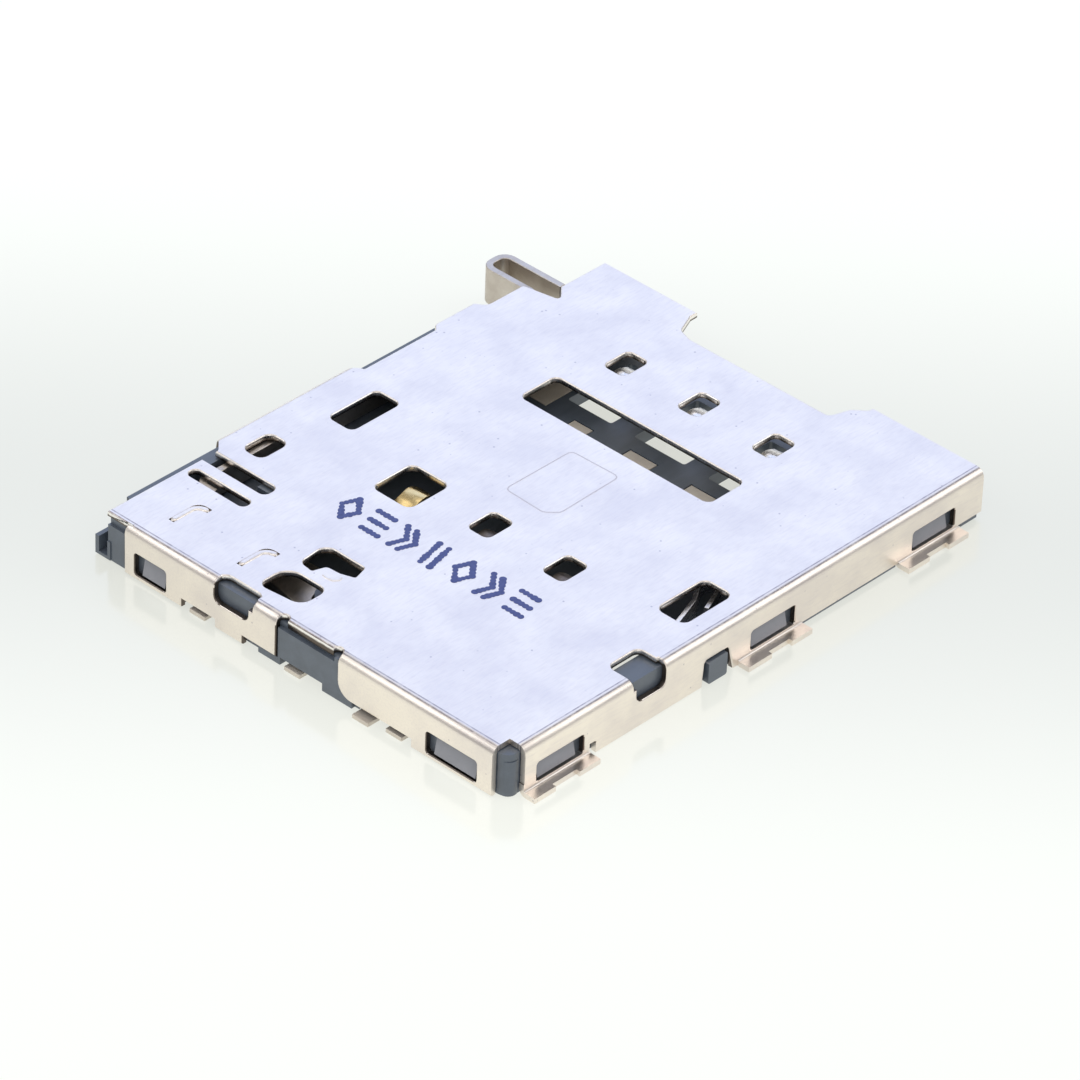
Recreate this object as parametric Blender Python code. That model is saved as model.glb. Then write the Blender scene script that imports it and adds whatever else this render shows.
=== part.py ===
# SIM card socket, tray type with a side ejector, for surface mounting.
# Metres, +Z up. The origin is the middle of the body on the solder plane.
# +Y is the side where the card tray goes in, -X is the side of the push rod.
# A size written as 1.45e-3 is 1.45 mm.

import math

import bmesh
import bpy
from mathutils import Matrix, Vector

# Body
BODY_WIDTH = 14.34e-3
BODY_LENGTH = 17.24e-3
BODY_HEIGHT = 1.45e-3
SHEET = 0.15e-3
FIT_GAP = 0.03e-3
SLIDE_GAP = 0.05e-3
OVERLAP = 0.10e-3
ARC_STEPS = 5

# The six sides of the body, from which places are given
LEFT = -BODY_WIDTH / 2
RIGHT = BODY_WIDTH / 2
FRONT = -BODY_LENGTH / 2
BACK = BODY_LENGTH / 2
TOP = BODY_HEIGHT
UNDER_COVER = TOP - SHEET
FAR_OUT = 2 * BACK

# Cover: one folded stainless sheet
BEND_RADIUS = 0.25e-3
EDGE_SETBACK = 0.14e-3
WALL_LIFT = 0.03e-3
WALL_SKIRT = 0.27e-3
WALL_CORNER_RADIUS = 0.45e-3
CHANNEL_FRONT_Y = FRONT + 0.59e-3
FRONT_WALL_SPAN = (LEFT + 1.20e-3, RIGHT - 0.53e-3)
CORNER_PLATE_X = LEFT + 0.46e-3
FRONT_GAP = (-0.66e-3, 1.46e-3)
LEFT_WALL = (FRONT + 4.32e-3, 0.30e-3)

# Edges of the blank, seen from above: (x, y, corner radius), each list from its first wall to its last
LEFT_EDGE = ((LEFT + 0.12e-3, LEFT_WALL[1], 0.10e-3), (LEFT + 0.43e-3, LEFT_WALL[1] + 0.25e-3, 0.10e-3),
             (LEFT + 0.43e-3, BACK - 5.47e-3, 0.10e-3), (LEFT + 0.25e-3, BACK - 5.32e-3, 0.20e-3),
             (LEFT + 0.25e-3, BACK - 3.87e-3, 0.10e-3), (LEFT + 0.55e-3, BACK - 3.67e-3, 0.25e-3),
             (LEFT + 0.55e-3, BACK - 2.34e-3, 0.10e-3), (LEFT + 1.67e-3, BACK - 2.12e-3, 0.08e-3),
             (LEFT + 1.27e-3, BACK - 1.67e-3, 0.0))
TRAY_NOTCH = ((-2.62e-3, BACK - 0.26e-3, 0.10e-3), (-2.35e-3, BACK - 0.90e-3, 0.20e-3),
              (-1.90e-3, BACK - 1.04e-3, 0.20e-3), (2.85e-3, BACK - 1.04e-3, 0.15e-3),
              (3.05e-3, BACK - 0.42e-3, 0.10e-3), (3.40e-3, BACK - 0.12e-3, 0.10e-3))
TRAY_NOTCH_MOUTH = (-2.68e-3, 3.68e-3)
FRONT_LEFT_CHAMFER = 0.35e-3
BEND_RELIEF_X = (FRONT_GAP[0] + 0.14e-3, FRONT_GAP[1] - 0.14e-3)
BEND_RELIEF_RADIUS = 0.14e-3

# Side windows of the cover, each with a moulded boss behind it: start and end along the wall, bottom and top
FRONT_WINDOWS = ((LEFT + 1.57e-3, LEFT + 2.67e-3, 0.17e-3, TOP - 0.65e-3),
                 (RIGHT - 2.71e-3, RIGHT - 1.04e-3, 0.16e-3, TOP - 0.67e-3))
RIGHT_WINDOWS = ((FRONT + 1.02e-3, FRONT + 2.64e-3, 0.23e-3, TOP - 0.67e-3),
                 (-0.02e-3, 1.58e-3, 0.23e-3, TOP - 0.65e-3),
                 (BACK - 2.64e-3, BACK - 1.05e-3, 0.23e-3, TOP - 0.65e-3))
WINDOW_CORNER = 0.08e-3

# Flared solder feet: start, end, and the relief between the two toes
RIGHT_FEET = ((FRONT + 0.57e-3, FRONT + 2.85e-3, FRONT + 1.30e-3, FRONT + 2.13e-3),
              (-0.48e-3, 1.84e-3, 0.36e-3, 1.10e-3),
              (BACK - 3.17e-3, BACK - 0.90e-3, BACK - 2.38e-3, BACK - 1.64e-3))
LEFT_FOOT = (LEFT_WALL[0] + 0.70e-3, LEFT_WALL[1] - 0.90e-3, LEFT_WALL[0] + 1.85e-3, LEFT_WALL[1] - 2.05e-3)
FOOT_RELIEF = (0.22e-3, 0.36e-3, 0.06e-3)
FOOT_REACH = 0.37e-3
FOOT_INNER_RADIUS = 0.06e-3
TOE_RELIEF = 0.12e-3

# Openings that run over a fold: on the top plate, then on the wall, with a corner radius
FRONT_FOLD_TOP = (-2.80e-3, -1.48e-3, FRONT + 0.42e-3)
FRONT_FOLD_WALL = (-2.80e-3, -1.62e-3, TOP - 0.65e-3)
SIDE_FOLD_TOP = (RIGHT - 0.90e-3, -4.24e-3, -3.17e-3)
SIDE_FOLD_WALL = (-4.14e-3, -3.10e-3, TOP - 0.69e-3)
FOLD_CORNER = 0.20e-3

# Lower edges of the walls; the notch for the nub is given as (y, corner radius)
FRONT_SKIRT_SPANS = ((-3.95e-3, -2.78e-3), (-1.80e-3, FRONT_GAP[0] + SHEET))
FRONT_SKIRT_END_X = 3.95e-3
NUB_NOTCH = ((-1.78e-3, 0.0), (-0.62e-3, 0.0), (-0.85e-3, 0.10e-3), (-1.70e-3, 0.10e-3))
NUB_NOTCH_TOP = TOP - 0.69e-3
SIDE_SKIRT = 0.14e-3
END_SKIRT = 0.18e-3

# Crescents coined into the top plate
CRESCENT_PLACES = ((LEFT + 1.85e-3, FRONT + 1.46e-3), (-2.83e-3, FRONT + 1.37e-3))
CRESCENT_HALF = 0.48e-3
CRESCENT_HOOK = 0.38e-3
CRESCENT_WIDTH = 0.18e-3
CRESCENT_RADIUS = 0.28e-3

# Card contacts, pitch and row distance of the card standard
CONTACT_PITCH = 2.54e-3
ROW_DISTANCE = 7.62e-3
MIDDLE_COLUMN_X = 0.25e-3
NEAR_ROW_Y = -2.06e-3
FAR_ROW_Y = NEAR_ROW_Y + ROW_DISTANCE
COLUMNS = [MIDDLE_COLUMN_X + step * CONTACT_PITCH for step in (-1, 0, 1)]
STRIP = 0.12e-3
CONTACT_TIP_WIDTH = 0.60e-3
CONTACT_ROOT_WIDTH = 1.20e-3
CONTACT_TAIL_WIDTH = 0.54e-3
CONTACT_APEX_Z = UNDER_COVER - 0.16e-3
CONTACT_ROOT_Z = 0.30e-3
CONTACT_RISE = 1.22e-3
CONTACT_BRIDGE = 0.45e-3
CONTACT_LIP = 0.42e-3
NEAR_TAIL_X = (COLUMNS[0] - 1.12e-3, COLUMNS[1] - 0.36e-3, COLUMNS[2] - 0.39e-3)
NEAR_TAIL_REACH = (0.0, 0.0, 0.18e-3)
FAR_TAIL_END_Y = BACK - 0.22e-3
STEP_RUN = 0.22e-3
TAIL_STRAIGHT = 0.90e-3
TAIL_SWERVE_END = 0.50e-3
LONG_TAIL = 1.50e-3
TIP_RUN = 0.35e-3
TIP_DROP = 0.16e-3
ROOT_BEND = (0.12e-3, 0.03e-3)
LIP_STATIONS = ((-28, 1.0), (-14, 1.0), (0, 1.0), (14, 1.0), (28, 0.86), (42, 0.52))

# Switch that senses the tray
SWITCH_BOTTOM = 0.22e-3
SWITCH_TOP = UNDER_COVER - 0.25e-3
SWITCH_ROOT = (RIGHT - 1.22e-3, -2.60e-3)
SWITCH_SPRING_POINTS = ((RIGHT - 1.22e-3, -1.60e-3), (RIGHT - 1.67e-3, -0.30e-3), (RIGHT - 2.32e-3, 0.62e-3),
                        (RIGHT - 2.02e-3, 1.10e-3))
SWITCH_CONTACT_POINTS = ((RIGHT - 1.09e-3, 1.85e-3), (RIGHT - 1.09e-3, 0.95e-3), (RIGHT - 1.55e-3, 0.45e-3),
                         (RIGHT - 1.22e-3, -0.35e-3))
SWITCH_SPRING_BEND = 0.35e-3
SWITCH_CONTACT_BEND = 0.25e-3
SWITCH_RISER = 0.25e-3
SWITCH_TRACE_INSET = 0.15e-3
SWITCH_TAIL_X = COLUMNS[2] + 0.57e-3
SWITCH_TRACE_Y = (FRONT + 1.02e-3, -4.20e-3)

# Housing
HOUSING_BOTTOM = 0.05e-3
FLOOR_TOP = 0.45e-3
FRONT_WALL = 0.37e-3
RIGHT_RAIL = 0.67e-3
LEFT_RAIL = 0.42e-3
ROD_CHANNEL = 1.50e-3
INNER_RAIL = 0.45e-3
LEFT_RAIL_END_Y = BACK - 4.92e-3
LEVER_BAY_RIGHT_X = 2.95e-3
LEVER_BAY_BACK_Y = FRONT + 3.72e-3
HOUSING_CORNERS = (0.45e-3, 0.30e-3, 0.10e-3, 0.10e-3)
BAY_CORNER = 0.12e-3
BOSS_STANDOFF = 0.10e-3
BOSS_INSET = 0.06e-3
BOSS_END_GAP = 0.24e-3
BLOCK_TOP = TOP - 0.31e-3
BLOCK_FOOT_X = (FRONT_GAP[0] - 0.64e-3, FRONT_GAP[1] - 0.56e-3)
BLOCK_STEP_X = FRONT_GAP[0] + 0.11e-3
BLOCK_SETBACK = 0.06e-3
CORNER_POST = (0.40e-3, 0.44e-3, 0.24e-3)
CORNER_POST_TOP = TOP - 0.39e-3
SHOULDER = (LEFT + 0.53e-3, LEFT + 1.12e-3, 0.10e-3)
SHOULDER_TOP = TOP - 0.35e-3
LOW_SHOULDER = (LEFT + 0.10e-3, FRONT + 0.07e-3, FRONT + 1.07e-3, 0.60e-3)
SHOULDER_POCKET = (0.13e-3, 0.80e-3, 0.14e-3)
BLOCK_END = (0.13e-3, 0.13e-3)
SILL_PROUD = 0.03e-3
NUB = (-1.62e-3, -0.95e-3, TOP - 0.73e-3)
NUB_PROUD = 0.06e-3
TAIL_RELIEFS = ((NEAR_TAIL_X[0] - 0.59e-3, NEAR_TAIL_X[0] + 0.56e-3),
                (NEAR_TAIL_X[1] - 0.44e-3, BLOCK_FOOT_X[1] - 0.02e-3),
                (NEAR_TAIL_X[2] - 0.35e-3, SWITCH_TAIL_X + 0.64e-3))
TAIL_RELIEF_DEPTH = 0.30e-3
WINDOW_SIDE_GAP = 0.22e-3
STEP_OPENING = 0.70e-3
LIP_OPENING = 0.75e-3
FAR_OPENING_FRONT = 1.16e-3
FAR_OPENING_LEFT = (0.90e-3, 1.12e-3, 1.12e-3)
FAR_OPENING_RIGHT = 0.62e-3
SWITCH_OPENING = (RIGHT - 2.47e-3, RIGHT - 1.19e-3, -3.45e-3, -1.70e-3)
OPENING_CORNER = 0.08e-3

# Metal inserts that show in the bay floor through the long slot: left, right, front, back
INSERT_FRONT_Y = FAR_ROW_Y - 2.36e-3
INSERTS = {"floor_insert": (COLUMNS[0] - 1.81e-3, COLUMNS[0] - 1.11e-3, FAR_ROW_Y - 1.76e-3, FAR_ROW_Y - 0.76e-3),
           "floor_insert_c3": (COLUMNS[0] - 0.13e-3, COLUMNS[0] + 0.51e-3, INSERT_FRONT_Y, FAR_ROW_Y - 1.72e-3),
           "floor_insert_c2": (COLUMNS[1] - 0.77e-3, COLUMNS[1] + 0.15e-3, INSERT_FRONT_Y, FAR_ROW_Y - 1.66e-3),
           "floor_insert_c1": (COLUMNS[2] - 1.19e-3, COLUMNS[2] - 0.33e-3, INSERT_FRONT_Y, FAR_ROW_Y - 1.68e-3)}
INSERT_THICKNESS = 0.20e-3

# Push rod: a steel strip that stands on edge
ROD_STRIP = 0.20e-3
ROD_X = LEFT + 0.87e-3
ROD_BOTTOM = FLOOR_TOP + 0.07e-3
ROD_TOP = UNDER_COVER - 0.06e-3
ROD_STROKE = 1.40e-3
ROD_BEND = 0.28e-3
PAD_OUTER_X = LEFT - 1.12e-3
PAD_INNER_X = LEFT + 1.07e-3
PAD_Y = BACK - 1.37e-3
PAD_RETURN_Y = BACK - 2.12e-3
PAD_RETURN_END = 0.50e-3
PAD_BOTTOM = 0.15e-3
FOOT_END_X = LEFT + 1.47e-3

# Eject lever: a flat steel blank on a moulded post
LEVER_SHEET = 0.28e-3
LEVER_BOTTOM = FLOOR_TOP + 0.07e-3
PIVOT_X = -0.92e-3
PIVOT_Y = FRONT + 2.13e-3
PIVOT_POST_RADIUS = 0.38e-3
LEVER_HUB_RADIUS = 0.80e-3
LEVER_NOSE_RADIUS = 0.30e-3
LEVER_INPUT = (FOOT_END_X - 0.08e-3, PIVOT_Y + 0.29e-3)
LEVER_OUTPUT = (2.30e-3, PIVOT_Y + 0.54e-3)

# Openings in the top plate: left, right, front, back, corner radius
LIP_HOLE = (0.70e-3, 0.95e-3, 0.17e-3)
WIDE_LIP_HOLE = (COLUMNS[0] - 0.63e-3, COLUMNS[0] + 0.66e-3, NEAR_ROW_Y - 0.96e-3, NEAR_ROW_Y + 0.48e-3, 0.22e-3)
LONG_SLOT = (-3.13e-3, 3.35e-3, FAR_ROW_Y - 3.03e-3, FAR_ROW_Y - 1.70e-3, 0.20e-3)
ROD_HOLE = (LEFT + 1.33e-3, LEFT + 2.17e-3, -1.64e-3, 0.10e-3, 0.18e-3)
ROD_END_HOLE = (LEFT + 0.81e-3, LEFT + 1.48e-3, FRONT + 4.45e-3, FRONT + 5.42e-3, 0.22e-3)
SWITCH_HOLE = (RIGHT - 1.70e-3, RIGHT - 0.79e-3, -1.66e-3, 0.09e-3, 0.22e-3)
FOOT_SLOT = (LEFT + 0.64e-3, LEFT + 2.67e-3, FRONT + 2.66e-3, FRONT + 3.00e-3, 0.16e-3)
EDGE_SLOT = (LEFT - 0.43e-3, LEFT + 2.67e-3, FRONT + 3.40e-3, FRONT + 3.86e-3, 0.18e-3)
# Corner points with a radius each, from the lever's pivot
EYE_HOLE = ((-1.02e-3, -1.45e-3, 0.22e-3), (0.32e-3, -1.30e-3, 0.35e-3), (0.32e-3, -0.43e-3, 0.24e-3),
            (-1.02e-3, -0.43e-3, 0.45e-3))
KIDNEY_HOLE = ((-1.04e-3, 0.90e-3, 0.30e-3), (0.30e-3, 0.89e-3, 0.10e-3), (0.42e-3, 0.45e-3, 0.05e-3),
               (0.04e-3, 0.31e-3, 0.15e-3), (-0.39e-3, 0.28e-3, 0.15e-3), (-0.52e-3, -0.11e-3, 0.05e-3),
               (-0.96e-3, -0.06e-3, 0.20e-3))

# Derived planes of the housing
HOUSING_TOP = UNDER_COVER - FIT_GAP
HOUSING_HALF_X = RIGHT - SHEET - FIT_GAP
HOUSING_FRONT_Y = FRONT + SHEET + FIT_GAP
HOUSING_BACK_Y = BACK - EDGE_SETBACK
BAY_LEFT_X = -HOUSING_HALF_X + LEFT_RAIL + ROD_CHANNEL + INNER_RAIL
BAY_RIGHT_X = HOUSING_HALF_X - RIGHT_RAIL
BAY_FRONT_Y = HOUSING_FRONT_Y + FRONT_WALL


def clear_scene():
    for obj in list(bpy.data.objects):
        bpy.data.objects.remove(obj, do_unlink=True)


def make_material(name, colour, metallic, roughness):
    material = bpy.data.materials.new(name)
    material.use_nodes = True
    shader = material.node_tree.nodes["Principled BSDF"]
    shader.inputs["Base Color"].default_value = (*colour, 1.0)
    shader.inputs["Metallic"].default_value = metallic
    shader.inputs["Roughness"].default_value = roughness
    return material


def add_object(name, bm, material=None):
    bmesh.ops.recalc_face_normals(bm, faces=bm.faces)
    mesh = bpy.data.meshes.new(name)
    bm.to_mesh(mesh)
    bm.free()
    obj = bpy.data.objects.new(name, mesh)
    bpy.context.scene.collection.objects.link(obj)
    if material:
        mesh.materials.append(material)
    return obj


# Outlines: closed lists of 2-D points, with round stretches computed.

def rounded(points, radii, steps=ARC_STEPS):
    """Round the corners of a closed outline; radii is one value or one for each corner."""
    if isinstance(radii, float):
        radii = [radii] * len(points)
    outline = []
    for index, corner in enumerate(points):
        radius = radii[index]
        corner = Vector(corner)
        before = Vector(points[index - 1]) - corner
        after = Vector(points[(index + 1) % len(points)]) - corner
        half = before.angle(after) / 2
        reach = radius / math.tan(half)
        reach = min(reach, 0.49 * before.length, 0.49 * after.length)
        if radius == 0 or reach < 1e-7:
            outline.append(tuple(corner))
            continue
        centre = corner + (before.normalized() + after.normalized()).normalized() * (reach / math.cos(half))
        start = corner + before.normalized() * reach - centre
        end = corner + after.normalized() * reach - centre
        turn = start.angle_signed(end)
        for step in range(steps + 1):
            spoke = start.copy()
            spoke.rotate(Matrix.Rotation(-turn * step / steps, 2))
            outline.append(tuple(centre + spoke))
    return outline


def box_outline(low_u, high_u, low_v, high_v, radius=0.0):
    corners = [(low_u, low_v), (high_u, low_v), (high_u, high_v), (low_u, high_v)]
    return rounded(corners, radius) if radius else corners


def circle_outline(centre, radius, steps=24):
    return [(centre[0] + radius * math.cos(math.tau * i / steps),
             centre[1] + radius * math.sin(math.tau * i / steps)) for i in range(steps)]


def path_with_bends(points, radius, steps=ARC_STEPS):
    """An open path whose inner corners are arcs."""
    radii = [0.0] + [radius] * (len(points) - 2) + [0.0]
    return [Vector(point) for point in rounded(points, radii, steps)]


def strip_outline(path, thickness):
    """The plan outline of a strip that stands on edge along a path."""
    left, right = [], []
    for index, point in enumerate(path):
        before = (point - path[index - 1]).normalized() if index else None
        after = (path[index + 1] - point).normalized() if index < len(path) - 1 else None
        along = (before or after) + (after or before)
        normal = Vector((-along.y, along.x)).normalized()
        edge = after or before
        stretch = 1 / max(0.5, normal.dot(Vector((-edge.y, edge.x))))
        left.append(tuple(point + normal * thickness / 2 * stretch))
        right.append(tuple(point - normal * thickness / 2 * stretch))
    return left + right[::-1]


# Solids

def extrude_into(bm, outline, axis, low, high):
    """Add the prism of an outline: axis z takes (x, y), axis y takes (x, z), axis x takes (y, z)."""
    place = {"z": lambda u, v, w: (u, v, w), "y": lambda u, v, w: (u, w, v), "x": lambda u, v, w: (w, u, v)}[axis]
    bottom = [bm.verts.new(place(u, v, low)) for u, v in outline]
    top = [bm.verts.new(place(u, v, high)) for u, v in outline]
    bm.faces.new(bottom)
    bm.faces.new(top)
    for index in range(len(outline)):
        following = (index + 1) % len(outline)
        bm.faces.new((bottom[index], bottom[following], top[following], top[index]))


def prism(name, outline, axis, low, high, material=None):
    bm = bmesh.new()
    extrude_into(bm, outline, axis, low, high)
    return add_object(name, bm, material)


def prisms(name, shapes):
    """One object of several prisms that don't touch each other."""
    bm = bmesh.new()
    for outline, axis, low, high in shapes:
        extrude_into(bm, outline, axis, low, high)
    return add_object(name, bm)


def combine(target, tool, operation):
    """Boolean with the exact solver; the tool stays as a hidden guide."""
    tool.hide_render = True
    tool.display_type = "WIRE"
    modifier = target.modifiers.new(tool.name, "BOOLEAN")
    modifier.operation = operation
    modifier.solver = "EXACT"
    modifier.object = tool


def ribbon_into(bm, stations, thickness):
    """A flat strip through stations of (x, y, z, width), bent about X only."""
    rings = []
    for index, (x, y, z, width) in enumerate(stations):
        here = Vector((y, z))
        before = Vector(stations[index - 1][1:3]) if index else here
        after = Vector(stations[index + 1][1:3]) if index < len(stations) - 1 else here
        along = ((here - before).normalized() + (after - here).normalized()).normalized()
        normal = Vector((-along.y, along.x)) * thickness / 2
        rings.append([bm.verts.new((x + side * width / 2, y + up * normal.x, z + up * normal.y))
                      for side, up in ((-1, -1), (1, -1), (1, 1), (-1, 1))])
    bm.faces.new(rings[0])
    bm.faces.new(rings[-1])
    for first, second in zip(rings, rings[1:]):
        for corner in range(4):
            following = (corner + 1) % 4
            bm.faces.new((first[corner], first[following], second[following], second[corner]))


def trace_outline(stations, gap):
    """The plan outline of a ribbon's stations, widened by a gap."""
    left = [(x - width / 2 - gap, y) for x, y, z, width in stations]
    right = [(x + width / 2 + gap, y) for x, y, z, width in stations]
    return left + right[::-1]


# Card contacts

def spring_stations(column_x, apex_y):
    """From the root in the floor up to the lip."""
    root_y = apex_y - CONTACT_RISE
    rows = [(-CONTACT_BRIDGE - TIP_RUN, CONTACT_ROOT_Z, CONTACT_ROOT_WIDTH),
            (0.0, CONTACT_ROOT_Z, CONTACT_ROOT_WIDTH),
            (ROOT_BEND[0], CONTACT_ROOT_Z + ROOT_BEND[1], CONTACT_ROOT_WIDTH),
            (CONTACT_RISE - TIP_RUN, CONTACT_APEX_Z - TIP_DROP, CONTACT_TIP_WIDTH)]
    for degrees, share in LIP_STATIONS:
        swing = math.radians(degrees)
        rows.append((CONTACT_RISE + CONTACT_LIP * math.sin(swing),
                     CONTACT_APEX_Z - STRIP / 2 - CONTACT_LIP * (1 - math.cos(swing)), CONTACT_TIP_WIDTH * share))
    return [(column_x, root_y + along, z, width) for along, z, width in rows]


def contact_stations(column_x, apex_y, tail_x, tail_end_y):
    """A flat tail on the solder plane, a step up and the spring; a long tail swerves to its own place."""
    spring = spring_stations(column_x, apex_y)
    step_y = spring[0][1] - STEP_RUN
    tail_z = STRIP / 2
    tail = [(tail_x, tail_end_y, tail_z, CONTACT_TAIL_WIDTH)]
    if step_y - tail_end_y > LONG_TAIL:
        tail.append((tail_x, tail_end_y + TAIL_STRAIGHT, tail_z, CONTACT_TAIL_WIDTH))
        tail.append((column_x, step_y - TAIL_SWERVE_END, tail_z, CONTACT_TAIL_WIDTH))
    tail.append((column_x, step_y, tail_z, CONTACT_TAIL_WIDTH))
    return tail + spring


def contact_layout():
    """Stations for the six contacts by node name. The far row's springs are rooted behind their lips."""
    layout = {}
    for number, column_x, tail_x, reach in zip((7, 6, 5), COLUMNS, NEAR_TAIL_X, NEAR_TAIL_REACH):
        tail_end = FRONT + FIT_GAP - reach
        layout[f"card_contact_c{number}"] = contact_stations(column_x, NEAR_ROW_Y, tail_x, tail_end)
    for number, column_x in zip((3, 2, 1), COLUMNS):
        ahead = contact_stations(column_x, FAR_ROW_Y, column_x, 2 * FAR_ROW_Y - FAR_TAIL_END_Y)
        layout[f"card_contact_c{number}"] = [(x, 2 * FAR_ROW_Y - y, z, width) for x, y, z, width in reversed(ahead)]
    return layout


def build_contact(name, stations, material):
    bm = bmesh.new()
    ribbon_into(bm, stations, STRIP)
    return add_object(name, bm, material)


# Switch

def switch_spring_path():
    return path_with_bends([SWITCH_ROOT] + list(SWITCH_SPRING_POINTS), SWITCH_SPRING_BEND)


def switch_contact_path():
    return path_with_bends(SWITCH_CONTACT_POINTS, SWITCH_CONTACT_BEND)


def switch_trace():
    root_x, root_y = SWITCH_ROOT
    z = STRIP / 2
    end_x = root_x - SWITCH_TRACE_INSET
    return [(SWITCH_TAIL_X, FRONT + FIT_GAP, z, CONTACT_TAIL_WIDTH),
            (SWITCH_TAIL_X, SWITCH_TRACE_Y[0], z, CONTACT_TAIL_WIDTH),
            (end_x, SWITCH_TRACE_Y[1], z, CONTACT_TAIL_WIDTH),
            (end_x, root_y + SWITCH_RISER + SLIDE_GAP, z, CONTACT_TAIL_WIDTH)]


def build_switch_spring(material):
    bm = bmesh.new()
    ribbon_into(bm, switch_trace(), STRIP)
    spring = add_object("detect_switch_spring", bm, material)
    root_x, root_y = SWITCH_ROOT
    riser_outline = box_outline(root_x - STRIP / 2, root_x + STRIP / 2, root_y, root_y + SWITCH_RISER)
    riser = prism("switch_spring_riser", riser_outline, "z", STRIP / 2, SWITCH_BOTTOM + STRIP)
    combine(spring, riser, "UNION")
    blade = prism("switch_spring_blade", strip_outline(switch_spring_path(), STRIP), "z",
                  FLOOR_TOP + FIT_GAP, SWITCH_TOP)
    post = prism("switch_spring_post", riser_outline, "z", SWITCH_BOTTOM, SWITCH_TOP - FIT_GAP)
    combine(spring, post, "UNION")
    combine(spring, blade, "UNION")
    return spring


def build_switch_contact(material):
    return prism("detect_switch_contact", strip_outline(switch_contact_path(), STRIP), "z",
                 SWITCH_BOTTOM, SWITCH_TOP, material)


# Push rod and eject lever

def rod_path():
    """From the pad that the eject pin meets, round the curl and along the channel to the foot."""
    foot_y = LEVER_INPUT[1] + LEVER_NOSE_RADIUS + SLIDE_GAP + ROD_STRIP / 2
    outer = PAD_OUTER_X + ROD_STRIP / 2
    return [(PAD_INNER_X, PAD_Y), (outer, PAD_Y), (outer, PAD_RETURN_Y),
            (ROD_X, PAD_RETURN_Y), (ROD_X, foot_y), (FOOT_END_X, foot_y)]


def build_push_rod(material):
    points = rod_path()
    whole = strip_outline(path_with_bends(points, ROD_BEND), ROD_STRIP)
    rod = prism("push_rod", whole, "z", ROD_BOTTOM, ROD_TOP, material)
    pad_points = points[:3] + [(ROD_X - PAD_RETURN_END, PAD_RETURN_Y)]
    pad_outline = strip_outline(path_with_bends(pad_points, ROD_BEND), ROD_STRIP)
    pad = prism("push_rod_pad", pad_outline, "z", PAD_BOTTOM, ROD_TOP)
    combine(rod, pad, "UNION")
    return rod


def tangent_hull(circles, steps=20):
    """The outline that wraps a row of circles, given as (x, y, radius)."""
    points = []
    for x, y, radius in circles:
        points += circle_outline((x, y), radius, steps)
    points = sorted(set(points))
    hull = []
    for ordered in (points, points[::-1]):
        chain = []
        for point in ordered:
            while len(chain) > 1:
                first = Vector(chain[-1]) - Vector(chain[-2])
                second = Vector(point) - Vector(chain[-1])
                if first.x * second.y - first.y * second.x > 0:
                    break
                chain.pop()
            chain.append(point)
        hull += chain[:-1]
    return hull


def build_eject_lever(material):
    """Two tapered arms that meet in a round hub, with the pivot hole at the origin."""
    pivot = Vector((PIVOT_X, PIVOT_Y))
    tips = [Vector(LEVER_INPUT) - pivot, Vector(LEVER_OUTPUT) - pivot]
    top = LEVER_BOTTOM + LEVER_SHEET
    arms = [tangent_hull([(0.0, 0.0, LEVER_HUB_RADIUS), (tip.x, tip.y, LEVER_NOSE_RADIUS)]) for tip in tips]
    lever = prism("eject_lever", arms[0], "z", LEVER_BOTTOM, top, material)
    second = prism("lever_output_arm", arms[1], "z", LEVER_BOTTOM, top)
    hole = prism("lever_pivot_hole", circle_outline((0, 0), PIVOT_POST_RADIUS + SLIDE_GAP), "z",
                 LEVER_BOTTOM - SHEET, top + SHEET)
    for piece in (lever, second, hole):
        piece.location = (PIVOT_X, PIVOT_Y, 0.0)
    combine(lever, second, "UNION")
    combine(lever, hole, "DIFFERENCE")
    return lever


# Housing

def build_housing(material):
    half_x = HOUSING_HALF_X
    body = rounded([(-half_x, HOUSING_FRONT_Y), (half_x, HOUSING_FRONT_Y), (half_x, HOUSING_BACK_Y),
                    (-half_x, HOUSING_BACK_Y)], HOUSING_CORNERS)
    housing = prism("housing", body, "z", HOUSING_BOTTOM, HOUSING_TOP, material)
    combine(housing, housing_bays(), "DIFFERENCE")
    combine(housing, rod_channel(), "DIFFERENCE")
    combine(housing, pad_corner(), "DIFFERENCE")
    combine(housing, contact_windows(), "DIFFERENCE")
    combine(housing, contact_grooves(), "DIFFERENCE")
    combine(housing, switch_pockets(), "DIFFERENCE")
    combine(housing, insert_pockets(), "DIFFERENCE")
    combine(housing, underside_relief(), "DIFFERENCE")
    combine(housing, front_features(), "UNION")
    combine(housing, latch_bosses(), "UNION")
    combine(housing, pivot_post(), "UNION")
    combine(housing, low_shoulder_room(), "DIFFERENCE")
    combine(housing, low_shoulder(), "UNION")
    combine(housing, side_sills(), "UNION")
    return housing


def housing_bays():
    """The tray bay and the lever bay in front of it, open to each other and to +Y."""
    channel_left = -HOUSING_HALF_X + LEFT_RAIL
    outline = [(channel_left, BAY_FRONT_Y), (LEVER_BAY_RIGHT_X, BAY_FRONT_Y),
               (LEVER_BAY_RIGHT_X, LEVER_BAY_BACK_Y), (BAY_RIGHT_X, LEVER_BAY_BACK_Y),
               (BAY_RIGHT_X, FAR_OUT), (BAY_LEFT_X, FAR_OUT), (BAY_LEFT_X, LEVER_BAY_BACK_Y),
               (channel_left, LEVER_BAY_BACK_Y)]
    return prism("bay_cut", rounded(outline, BAY_CORNER, 3), "z", FLOOR_TOP, FAR_OUT)


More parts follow.
